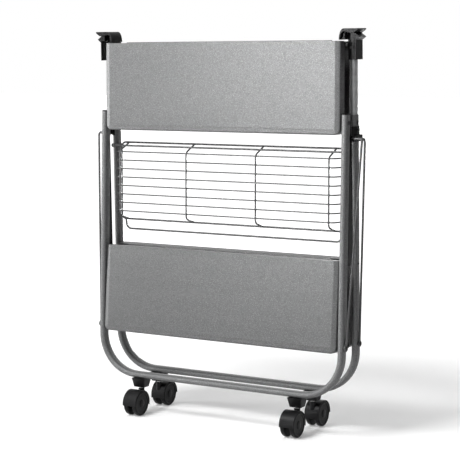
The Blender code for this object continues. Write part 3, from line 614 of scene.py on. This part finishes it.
def panel_levels(sheet):
    """(inset, height, share of the end's lift) from the skirt's foot to the flat face."""
    skirt = 0.0215
    edge_width, edge_depth, edge_turn = 0.0045, 0.003, math.radians(66)
    bevel_width, bevel_depth = 0.0105, 0.0021
    blend, blend_start, blend_middle = 0.0012, 0.00025, 0.00006
    levels = [(sheet, FACE_TO_HINGE - skirt, 0)]
    for out, up in arc((0, 0), (edge_width - sheet, edge_depth - sheet), 0, edge_turn, 6):
        levels.append((edge_width - out, FACE_TO_HINGE - bevel_depth - edge_depth + up, 1))
    low_inset, low_height, _ = levels[-1]
    top_inset, top_height = bevel_width - blend, FACE_TO_HINGE - blend_start - sheet
    # Rings close to the bevel's ends keep its shading flat.
    for part in (0.1, 0.9):
        inset = low_inset + (top_inset - low_inset) * part
        levels.append((inset, low_height + (top_height - low_height) * part, 1 - part))
    levels.append((top_inset, top_height, 0))
    levels.append((bevel_width, FACE_TO_HINGE - blend_middle - sheet, 0))
    levels.append((bevel_width + blend, FACE_TO_HINGE - sheet, 0))
    return levels


def panel_pan():
    """Pressed pan: rounded edge, shallow bevel on three sides, deeper sides round the pivots."""
    ear_depth, end_lift = 0.0225, 0.0019
    shape = bmesh.new()
    corner_share = [step / PANEL_CORNER_STEPS for step in range(PANEL_CORNER_STEPS + 1)]
    end_share = [0, 0, 0] + corner_share
    end_share += end_share[::-1]
    skins = []
    for sheet in (0, PANEL_SHEET):
        rings = []
        for inset, height, lift_share in panel_levels(sheet):
            outline = panel_outline(inset)
            for end in (0, -1):
                x, y = outline[end]
                outline[end] = (x, y + sheet)
            rings.append(ring(shape, outline, lambda a, b: Vector((a, b, height))))
            for vert, share in zip(rings[-1], end_share):
                vert.co.z += end_lift * lift_share * share
        for vert in rings[0]:
            if vert.co.y >= EAR:
                vert.co.z = FACE_TO_HINGE - ear_depth
        for near, far in zip(rings, rings[1:]):
            skin(shape, near, far)
        shape.faces.new(rings[-1])
        skins.append(rings)
    skin(shape, skins[0][0], skins[1][0])
    return shape


def leaf_shape(first):
    """Hinge leaf: a strip against the panel's meeting wall and every second knuckle."""
    half, count, reach = 0.235, 5, 0.024
    back, front, strip_start = 0.0019, 0.0031, 0.0030
    outer, inner, overlap = 0.0017, 0.00135, 0.0002
    outer_end, inner_end = -0.0006, -0.0003
    start, end, steps = math.radians(-50), math.radians(-290), 16
    shape = bmesh.new()
    strip = [(back, strip_start), (front, strip_start), (front, reach), (back, reach)]
    prism(shape, strip, -half, half, along_x)
    roll = [(front, strip_start + overlap), (front, outer_end)]
    roll += arc((0, 0), (outer, outer), start, end, steps)
    roll += arc((0, 0), (inner, inner), end, start, steps)
    roll += [(back, inner_end), (back, strip_start + overlap)]
    pitch = 2 * half / count
    for number in range(first, count, 2):
        low = number * pitch - half
        prism(shape, roll, low + FIT, low + pitch - FIT, along_x)
    return shape


SHELVES = (("upper", UPPER_PIVOT, UPPER_REACH), ("lower", LOWER_PIVOT, LOWER_REACH))
for level, height, reach in SHELVES:
    tilt = folded_tilt(reach, leg_offset(height))
    hinge = height + reach * math.cos(tilt) - HALF_GAP * math.sin(tilt)
    for end, sign in ENDS.items():
        upright = Matrix.Rotation(tilt - math.pi / 2, 4, "X")
        place = Matrix.Translation((0, 0, hinge)) @ facing_out(sign) @ upright
        body = f"{level}_{end}_half"
        name = f"{level}_{end}_panel"
        shelf = f"{level}_{end}_shelf"
        add_piece(shelf, panel_pan(), panel_paint, body, [name], place)
        leaf = leaf_shape(0 if end == "rear" else 1)
        name = f"{level}_hinge_{end}_leaf"
        add_piece(f"{name}_strip", leaf, panel_paint, body, [name], place)
lower_hinge = hinge

# Top caps, in (outwards from the leg's middle, drop from the cap's top).
CAP_WING_CENTRE = (-0.006, 0.0214)
CAP_WING_OUTER = (0.010, 0.0214)
CAP_WING_INNER = (0.0074, 0.0154)
CAP_NOSE = ((0.0232, 0), (0.0238, 0.0006), (0.0238, 0.0028), (0.0150, 0.0088), (0.0080, 0.0088))
CAP_PLATE_FRONT = -0.035
CAP_PLATE_BACK = 0.003
CAP_LENGTH = 0.059
CAP_SLEEVE_LOW = (-0.0065, -0.0145)
CAP_SLEEVE_HIGH = (0.0085, 0.0135)
CAP_SLEEVE_CORNER = 0.0015
CAP_SLEEVE_TOP = 0.0055
CAP_HOOK = (
    (0.0065, 0.007),
    (0.0145, 0.0083),
    (0.0245, 0.0158),
    (0.0168, 0.022),
    (0.0168, CAP_LENGTH),
    (0.0148, CAP_LENGTH),
    (0.0148, 0.019),
    (0.0065, 0.019),
)
CAP_HOOK_FRONT = -0.0285
CAP_HOOK_BACK = 0.002
CAP_RIDGES = (-0.0048, 0.0052)
CAP_RIDGE_WIDTH = 0.0011
CAP_RIDGE_TOP = 0.022
CAP_RIDGE_BOTTOM = CAP_LENGTH - 0.003
CAP_RIDGE_FRONT = -0.0151
CAP_RIDGE_BACK = -0.0140
CAP_GUSSETS = (-0.028, -0.018, -0.006)
CAP_GUSSET_WIDTH = 0.0014
CAP_GUSSET = ((-0.006, 0.0055), (-0.0112, 0.0102), (-0.0132, 0.0205), (-0.006, 0.0205))


def cap_shape(side):
    """Top plate and quarter-round wing, hook, outer fin and sleeve, in the leg's own axes."""
    shape = bmesh.new()
    top = along_leg(CAP_TOP)

    def outward(a, b, c):
        return Vector((side * a, c, b))

    def upward(a, b, c):
        return Vector((side * a, b, c))

    def hung(outline):
        return [(out, top - drop) for out, drop in outline]

    (centre,) = hung([CAP_WING_CENTRE])
    sweep = arc(centre, CAP_WING_OUTER, math.pi, math.pi / 2, 12)
    lower = arc(centre, CAP_WING_INNER, math.pi / 2, math.pi, 12)
    plate = sweep + hung(CAP_NOSE) + lower
    prism(shape, plate, CAP_PLATE_FRONT, CAP_PLATE_BACK, outward)
    sleeve = rounded_box(CAP_SLEEVE_LOW, CAP_SLEEVE_HIGH, CAP_SLEEVE_CORNER)
    prism(shape, sleeve, top - CAP_LENGTH, top - CAP_SLEEVE_TOP, upward)
    prism(shape, hung(CAP_HOOK), CAP_HOOK_FRONT, CAP_HOOK_BACK, outward)
    for x in CAP_RIDGES:
        far = x + CAP_RIDGE_WIDTH
        low, high = CAP_RIDGE_BOTTOM, CAP_RIDGE_TOP
        ridge = hung(((x, low), (far, low), (far, high), (x, high)))
        prism(shape, ridge, CAP_RIDGE_FRONT, CAP_RIDGE_BACK, outward)
    for y in CAP_GUSSETS:
        prism(shape, hung(CAP_GUSSET), y, y + CAP_GUSSET_WIDTH, outward)
    return shape


for side_name, side in SIDES.items():
    name = f"{side_name}_top_cap"
    add_piece(
        f"{name}_moulding",
        cap_shape(side),
        black_plastic,
        "rear_frame",
        [name],
        leg_place(1, side),
        bevel=0.0006,
    )

# Basket.
BASKET_SIDE_GAP = 0.008
BASKET_DEPTH = 0.032
BASKET_FLARE = 0.010
BASKET_TOP_FLARE = 0.016
BASKET_BOTTOM_FLARE = 0.010
BASKET_BEND = 0.010
HANGER_TO_FLOOR = 0.0128
HANGER_END_GAP = 0.0013
FLOOR_WIRES = 8
FLOOR_TOP_EDGE = 0.018
FLOOR_BOTTOM_EDGE = 0.0195
CROSS_WIRES = 4
CROSS_SPACING = 0.160
RAIL_ABOVE_SHELF = 0.032
RAIL_DROP = 0.021
RAIL_SET_BACK = 0.004
RIM_RADIUS = 0.002
FLOOR_RADIUS = 0.0014
CROSS_RADIUS = 0.0017
WELD = 0.0008


def basket_shape():
    shape = bmesh.new()
    rim_half = LEG_INNER - BASKET_SIDE_GAP - RIM_RADIUS
    floor_half = rim_half - BASKET_FLARE
    floor_y = HANGER_BACK - HANGER_TO_FLOOR
    cross_y = floor_y - CROSS_RADIUS - FLOOR_RADIUS + WELD
    rim_y = floor_y + BASKET_DEPTH
    # The hanger is welded on top of the cross wires, where they slope up to the rim.
    share = (HANGER_BACK - cross_y) / (rim_y - cross_y)
    slope_top = HANGER_HEIGHT - HANGER_RADIUS - CROSS_RADIUS + WELD
    rim_top = slope_top + (1 - share) * BASKET_TOP_FLARE
    rail_y, rail_z = rim_y + RAIL_SET_BACK, lower_hinge + RAIL_ABOVE_SHELF
    rim_bottom = rail_z + RAIL_DROP
    floor_top = rim_top - FLOOR_TOP_EDGE
    pitch = (floor_top - rim_bottom - FLOOR_BOTTOM_EDGE) / (FLOOR_WIRES - 1)
    rim = [
        (0, rim_y, rim_top),
        (rim_half, rim_y, rim_top),
        (rim_half, rim_y, rim_bottom),
        (-rim_half, rim_y, rim_bottom),
        (-rim_half, rim_y, rim_top),
        (0, rim_y, rim_top),
    ]
    add_wire(shape, rounded_path(rim, BASKET_BEND)[:-1], RIM_RADIUS, (0, 1, 0), closed=True)
    for number in range(FLOOR_WIRES):
        z = floor_top - number * pitch
        wire = [
            (-rim_half, rim_y, z),
            (-floor_half, floor_y, z),
            (floor_half, floor_y, z),
            (rim_half, rim_y, z),
        ]
        add_wire(shape, rounded_path(wire, BASKET_BEND), FLOOR_RADIUS, (0, 0, 1))
    for number in range(CROSS_WIRES):
        x = (number - (CROSS_WIRES - 1) / 2) * CROSS_SPACING
        wire = [
            (x, rim_y, rim_top),
            (x, cross_y, rim_top - BASKET_TOP_FLARE),
            (x, cross_y, rim_bottom + BASKET_BOTTOM_FLARE),
            (x, rim_y, rim_bottom),
        ]
        add_wire(shape, rounded_path(wire, BASKET_BEND), CROSS_RADIUS, (1, 0, 0))
    rail = [
        (-floor_half, rim_y, rim_bottom),
        (-floor_half, rail_y, rail_z),
        (floor_half, rail_y, rail_z),
        (floor_half, rim_y, rim_bottom),
    ]
    rail_side = Vector((0, RAIL_DROP, RAIL_SET_BACK)).normalized()
    add_wire(shape, rounded_path(rail, BASKET_BEND), RIM_RADIUS, rail_side)
    reach = LEG_INNER - HANGER_END_GAP
    hanger = [Vector((x, HANGER_BACK, HANGER_HEIGHT)) for x in (-reach, reach)]
    add_wire(shape, hanger, HANGER_RADIUS, (0, 0, 1))
    return shape


add_piece("basket_wires", basket_shape(), wire_coat, "basket", ["basket"])

# Stays.


def stay_shape(sign, side):
    """Stay wire from its eye on the lower rivet up to a hooked top, with a short keeper wire."""
    bore, eye_radius, chamfer_in, chamfer_up = 0.0033, 0.0065, 0.0005, 0.0006
    top_out, end_gap, bend = 0.0218, 0.0036, 0.006
    wire_radius, wire_sides, wire_start = 0.0022, 16, 0.0052
    keeper_bend, keeper_turn, keeper_steps, keeper_radius = 0.0065, math.radians(88), 12, 0.0019
    shape = bmesh.new()
    foot = Vector((0, sign * leg_offset(LOWER_PIVOT), LOWER_PIVOT))
    eye_low = LEG_OUTER + FIT
    eye_high = eye_low + STAY_EYE_WIDTH
    rows = (
        (bore, eye_low),
        (eye_radius - chamfer_in, eye_low),
        (eye_radius, eye_low + chamfer_up),
        (eye_radius, eye_high - chamfer_up),
        (eye_radius - chamfer_in, eye_high),
        (bore, eye_high),
    )
    disc = []
    for radius, x in rows:
        disc.append(ring(shape, circle(radius, 32), lambda a, b: foot + Vector((side * x, a, b))))
    for near, far in zip(disc, disc[1:] + disc[:1]):
        skin(shape, near, far)
    tip = Vector((0, sign * STAY_HALF_GAP, STAY_TOP)) - foot
    corner = Vector((side * (LEG_OUTER + top_out), tip.y, tip.z))
    middle = Vector((side * (eye_low + STAY_EYE_WIDTH / 2), 0, 0))
    start = middle.lerp(corner, wire_start / corner.z)
    end = (side * (LEG_OUTER + FIT + end_gap), tip.y, tip.z)
    path = [foot + point for point in rounded_path([start, corner, end], bend)]
    add_wire(shape, path, wire_radius, (0, 1, 0), sides=wire_sides)
    centre = corner + foot + Vector((0, -sign * keeper_bend, -keeper_bend))
    keeper = []
    for step in range(keeper_steps + 1):
        angle = keeper_turn * step / keeper_steps
        keeper.append(centre + Vector((0, sign * math.cos(angle), math.sin(angle))) * keeper_bend)
    add_wire(shape, keeper, keeper_radius, (1, 0, 0))
    return shape


for end, sign in ENDS.items():
    for side_name, side in SIDES.items():
        name = f"{end}_{side_name}_stay"
        body = "rear_frame" if end == "rear" else name
        add_piece(f"{name}_wire", stay_shape(sign, side), wire_coat, body, [name])

# Wedge plates behind the front legs, whose black is partly painted shade between the front and rear
# legs, and studs on the rear legs.
SHADE_PLATE_LOW = 0.335
SHADE_PLATE_HIGH = 0.601
SHADE_PLATE_CLEAR = 0.012
STUD_HEIGHT = 0.335


def stud_shape():
    radius, base, sunk, dome_rise = 0.0026, 0.0004, 0.0006, 0.0016
    dome = arc((0, base), (radius, dome_rise), 0, math.pi / 2, 6)
    return turned([(0, -sunk), (radius, -sunk)] + dome[:-1] + [(0, base + dome_rise)], 20)


def shade_plate_shape(side):
    """Dark plate behind a front leg, its back edge clear of the rear leg, with round corners; its
    darkness is partly painted shade between the front and rear legs.
    """
    inner, outer, sunk, turn = 0.0018, 0.0056, 0.0015, 0.009
    shape = bmesh.new()
    near = TUBE_DEPTH / 2 - sunk

    def back(height):
        return 2 * leg_offset(height) - TUBE_DEPTH / 2 - SHADE_PLATE_CLEAR

    low, high = along_leg(SHADE_PLATE_LOW), along_leg(SHADE_PLATE_HIGH)
    section = [(near, high), (near, low)]
    section += arc((back(SHADE_PLATE_LOW) - turn, low + turn), (turn, turn), -math.pi / 2, 0, 8)
    section += arc((back(SHADE_PLATE_HIGH) - turn, high - turn), (turn, turn), 0, math.pi / 2, 8)
    prism(shape, section, *sorted((side * inner, side * outer)), along_x)
    return shape


for side_name, side in SIDES.items():
    # Black plates: partly a real plate, partly painted shade in the gap between each front and rear
    # leg.
    add_piece(
        f"{side_name}_leg_shade_plate",
        shade_plate_shape(side),
        black_plastic,
        "front_frame",
        place=leg_place(-1, side),
        bevel=0.0006,
    )
    at = Matrix.Translation((side * LEG_OUTER, 0, along_leg(STUD_HEIGHT)))
    add_piece(
        f"{side_name}_leg_stud",
        stud_shape(),
        dark_steel,
        "rear_frame",
        place=frame_place(1) @ at @ facing_out(side),
    )

# Clips.


def clip_collar():
    """Wall round the leg, open on its inner side, as one closed outline."""
    wall, opening = 0.0018, -0.003
    walls = []
    for grow in (wall, FIT):
        oval = flat_oval(TUBE_DEPTH, TUBE_WIDTH, grow)
        half = len(oval) // 2
        upper = [p for p in reversed(oval[:half]) if p[0] >= opening]
        lower = [p for p in reversed(oval[half:]) if p[0] >= opening]
        walls.append(upper + lower)
    return walls[0] + walls[1][::-1]


def clip_arm():
    """Arm round the front stay's tip, with the open slot that the tip swings out of."""
    root, root_half = 0.0065, 0.0064
    lip, lip_rise, mouth, slot = 0.004, 1.25, 0.78, 0.0025
    y, z = in_rear_frame(-STAY_HALF_GAP, STAY_TOP)
    radii = (lip, lip * lip_rise)
    nose = arc((y, z), radii, math.radians(95), math.radians(141), 5)
    tail = arc((y, z), radii, math.radians(219), math.radians(265), 5)
    notch = arc((y, z), (slot, slot), -math.pi / 2, math.pi / 2, 10)
    arm = [(root, z - root_half), (root, z + root_half)] + nose
    arm += [(y - lip * mouth, z + slot)] + notch[::-1] + [(y - lip * mouth, z - slot)]
    return arm + tail


def clip_shape(side):
    """Snap-on collar, and an arm with the front stay's slot and a small barb above it."""
    top, bottom, chamfer_in, chamfer_up = -0.007, -0.036, 0.00025, 0.0006
    arm_low, arm_high, barb_half = 0.0071, 0.0135, 0.004
    barb = [(0.0062, top - 0.008), (0.0112, top - 0.0065), (0.0062, top - 0.003)]
    shape = bmesh.new()
    levels = (
        (chamfer_in, bottom),
        (0, bottom + chamfer_up),
        (0, top - chamfer_up),
        (chamfer_in, top),
    )
    rings = []
    for inset, z in levels:
        outline = [(a - math.copysign(inset, a), b) for a, b in clip_collar()]
        rings.append(ring(shape, outline, lambda a, b: Vector((side * a, b, z))))
    loft(shape, rings)
    prism(shape, clip_arm(), arm_low, arm_high, lambda a, b, c: Vector((side * c, a, b)))
    prism(shape, barb, -barb_half, barb_half, lambda a, b, c: Vector((side * a, c, b)))
    return shape


for side_name, side in SIDES.items():
    name = f"{side_name}_clip"
    add_piece(
        f"{name}_moulding",
        clip_shape(side),
        black_plastic,
        "rear_frame",
        [name],
        leg_place(1, side),
    )

# Castors.
CASTOR_WEB_HALF = 0.005


def wheel_shape():
    """Wheel with rounded edges, a bore from its inner face, and a dished outer face with a hub."""
    inside, width, edge = 0.0053, 0.010, 0.0028
    bore, bore_cover = 0.0033, 0.0004
    outside = inside + width
    shoulder = WHEEL_RADIUS - edge
    profile = [(0, outside - bore_cover), (bore, outside - bore_cover), (bore, inside)]
    profile += arc((shoulder, inside + edge), (edge, edge), -math.pi / 2, 0, 5)
    profile += arc((shoulder, outside - edge), (edge, edge), 0, math.pi / 2, 5)
    face = (
        (WHEEL_RADIUS - 0.0045, 0.0002),
        (WHEEL_RADIUS - 0.0055, 0.0013),
        (0.0085, 0.0013),
        (0.0080, 0.0006),
        (0.0068, 0.0001),
        (0, 0.0001),
    )
    profile += [(radius, outside - depth) for radius, depth in face]
    return turned(profile, 48)


def hood_shape():
    """Arched roof over both wheels, the web between them, and the neck round the stem."""
    roof_gap, roof_wall, roof_half, web_overlap = 0.0006, 0.0016, 0.0153, 0.001
    start, end = math.radians(184), math.radians(-14)
    hub, neck, neck_bore = 0.009, 0.0062, 0.0043
    neck_low, neck_round, neck_edge, neck_top, neck_chamfer = 0.036, 0.0455, 0.0517, 0.0525, 0.0007
    shape = bmesh.new()
    axle = (-TRAIL, WHEEL_RADIUS)
    roof_in = WHEEL_RADIUS + roof_gap
    roof_out = roof_in + roof_wall
    roof = arc(axle, (roof_out, roof_out), start, end, 40)
    roof += arc(axle, (roof_in, roof_in), end, start, 40)
    prism(shape, roof, -roof_half, roof_half, along_x)
    web = arc(axle, (roof_in + web_overlap,) * 2, start, end, 40)
    web += arc(axle, (hub, hub), end, start - 2 * math.pi, 16)
    prism(shape, web, -CASTOR_WEB_HALF, CASTOR_WEB_HALF, along_x)

    def in_web(a):
        return max(-CASTOR_WEB_HALF, min(CASTOR_WEB_HALF, a))

    rings = []
    for z in (neck_low, neck_round):
        rings.append(ring(shape, circle(neck, 32), lambda a, b: Vector((in_web(a), b, z))))
    collar = (
        (neck, neck_round),
        (neck, neck_edge),
        (neck - neck_chamfer, neck_top),
        (neck_bore, neck_top),
        (neck_bore, neck_low),
    )
    for radius, z in collar:
        rings.append(ring(shape, circle(radius, 32), lambda a, b: Vector((a, b, z))))
    for near, far in zip(rings, rings[1:] + rings[:1]):
        skin(shape, near, far)
    return shape


def socket_shape():
    """Tapered block under the bottom bar, with a small chamfer below and a lip above."""
    corner = 0.0022
    bar_bottom = BAR_HEIGHT - TUBE_WIDTH / 2
    levels = (
        (0.0243, 0.0188, 0.0555),
        (0.0255, 0.0200, 0.0562),
        (0.0310, 0.0283, bar_bottom - 0.001),
        (0.0318, 0.0290, bar_bottom - FIT),
    )
    shape = bmesh.new()
    rings = []
    for width, depth, z in levels:
        outline = rounded_box((-width / 2, -depth / 2), (width / 2, depth / 2), corner)
        rings.append(ring(shape, outline, lambda a, b: Vector((a, b, z))))
    loft(shape, rings)
    return shape


for end, sign in ENDS.items():
    for side_name, side in SIDES.items():
        corner = f"{end}_{side_name}"
        spot = Matrix.Translation((side * CASTOR_X, sign * leg_offset(BAR_HEIGHT), 0))
        heading = spot @ facing_out(-sign)
        name = f"{corner}_hood"
        add_piece(
            f"{name}_shell",
            hood_shape(),
            black_plastic,
            f"{corner}_castor",
            [name],
            heading,
            bevel=0.0005,
        )
        name = f"{corner}_socket"
        add_piece(
            f"{name}_block",
            socket_shape(),
            black_plastic,
            f"{end}_frame",
            [name],
            spot,
        )
        axle = heading @ Matrix.Translation((0, -TRAIL, WHEEL_RADIUS))
        for wheel_name, wheel_side in SIDES.items():
            name = f"{corner}_{wheel_name}_wheel"
            at = axle @ facing_out(wheel_side)
            add_piece(f"{name}_disc", wheel_shape(), wheel_plastic, name, [name], at)

# Finishes of the solids that still show: cap screws, hinge pins, castor stems and axles.
for name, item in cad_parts.items():
    item.data.materials.clear()
    item.data.materials.append(dark_steel if "screw" in name else steel)

# Floor, light and camera.


def flat_card(name, half_size, look):
    shape = bmesh.new()
    bmesh.ops.create_grid(shape, x_segments=1, y_segments=1, size=half_size)
    mesh = bpy.data.meshes.new(name)
    shape.to_mesh(mesh)
    shape.free()
    mesh.materials.append(look)
    card = bpy.data.objects.new(name, mesh)
    bpy.context.scene.collection.objects.link(card)
    return card


def make_floor():
    """Pale floor that takes the shadow near the trolley and glows into the white background."""
    near_glow, far_glow, near, far = 0.14, 1.0, 0.6, 1.8
    look, tree, shader = new_look("pale_floor")
    shader.inputs["Base Color"].default_value = (0.86, 0.86, 0.86, 1)
    shader.inputs["Roughness"].default_value = 0.75
    where = node(tree, "ShaderNodeTexCoord").outputs["Object"]
    distance = node(tree, "ShaderNodeVectorMath", operation="LENGTH")
    tree.links.new(where, distance.inputs[0])
    level = map_value(tree, distance.outputs["Value"], near_glow, far_glow, near, far)
    path = node(tree, "ShaderNodeLightPath")
    seen = node(tree, "ShaderNodeMath", operation="MAXIMUM")
    tree.links.new(path.outputs["Is Camera Ray"], seen.inputs[0])
    tree.links.new(path.outputs["Is Glossy Ray"], seen.inputs[1])
    glow = node(tree, "ShaderNodeMath", operation="MULTIPLY")
    tree.links.new(level, glow.inputs[0])
    tree.links.new(seen.outputs["Value"], glow.inputs[1])
    emit = node(tree, "ShaderNodeEmission")
    tree.links.new(glow.outputs["Value"], emit.inputs["Strength"])
    both = node(tree, "ShaderNodeAddShader")
    tree.links.new(shader.outputs["BSDF"], both.inputs[0])
    tree.links.new(emit.outputs["Emission"], both.inputs[1])
    tree.links.new(both.outputs["Shader"], tree.nodes["Material Output"].inputs["Surface"])
    floor = flat_card("floor", 30, look)


def make_world():
    """White to the camera and in reflections, and dimmer as a light."""
    lit, shown = 0.28, 1.0
    world = bpy.data.worlds.new("studio")
    bpy.context.scene.world = world
    world.use_nodes = True
    tree = world.node_tree
    back = tree.nodes["Background"]
    back.inputs["Color"].default_value = (1, 1, 1, 1)
    path = node(tree, "ShaderNodeLightPath")
    seen = path.outputs["Is Camera Ray"]
    for other in ("Is Glossy Ray", "Is Transmission Ray"):
        most = node(tree, "ShaderNodeMath", operation="MAXIMUM")
        tree.links.new(seen, most.inputs[0])
        tree.links.new(path.outputs[other], most.inputs[1])
        seen = most.outputs["Value"]
    tree.links.new(map_value(tree, seen, lit, shown), back.inputs["Strength"])


def add_softbox(name, location, target, size, power, spread=180):
    data = bpy.data.lights.new(name, "AREA")
    data.shape = "RECTANGLE"
    data.size, data.size_y = size
    data.energy = power
    data.spread = math.radians(spread)
    lamp = bpy.data.objects.new(name, data)
    lamp.location = location
    aim = Vector(target) - Vector(location)
    lamp.rotation_euler = aim.to_track_quat("-Z", "Y").to_euler()
    bpy.context.scene.collection.objects.link(lamp)


def add_flag(name, location, turn, size):
    """Grey card out of the camera's sight, which keeps stray light off one side."""
    look, _, shader = new_look(name)
    shader.inputs["Base Color"].default_value = (0.32, 0.32, 0.32, 1)
    shader.inputs["Roughness"].default_value = 0.9
    card = flat_card(name, 0.5, look)
    card.location = location
    card.rotation_euler = turn
    card.scale = (*size, 1)
    card.visible_camera = False


def make_camera():
    """Camera fitted to the photo's straight edges and level lines."""
    pitch, heading = math.radians(4.511), math.radians(30.101)
    data = bpy.data.cameras.new("camera")
    data.lens = 114.37
    data.sensor_width = 36
    data.shift_y = -0.10
    camera = bpy.data.objects.new("camera", data)
    camera.location = (1.4697, -2.5167, 0.7093)
    camera.rotation_euler = (math.pi / 2 - pitch, 0, heading)
    bpy.context.scene.collection.objects.link(camera)
    bpy.context.scene.camera = camera


make_floor()
make_world()
add_softbox("key", (-0.7, -1.7, 2.5), target=(0, 0, 0.3), size=(1.0, 1.0), power=75)
add_softbox(
    "front", (-0.65, -2.6, 0.95), target=(0.25, 0, 0.82), size=(0.7, 0.7), power=3.1, spread=36
)
add_softbox("rim", (-2.5, -1.2, 0.75), target=(-0.2, 0, 0.6), size=(0.45, 0.9), power=44)
add_softbox(
    "back", (-0.5, 2.7, 0.5), target=(0, 0, 0.47), size=(0.9, 0.5), power=4.5, spread=30
)
add_flag("right_flag", (1.05, 0.4, 0.98), turn=(0, math.pi / 2, 0), size=(1.8, 2.6))
add_flag(
    "back_flag", (0.70, 1.95, 0.98), turn=(0, math.pi / 2, math.radians(55)), size=(1.8, 0.9)
)
make_camera()
bpy.context.scene.view_settings.view_transform = "Standard"
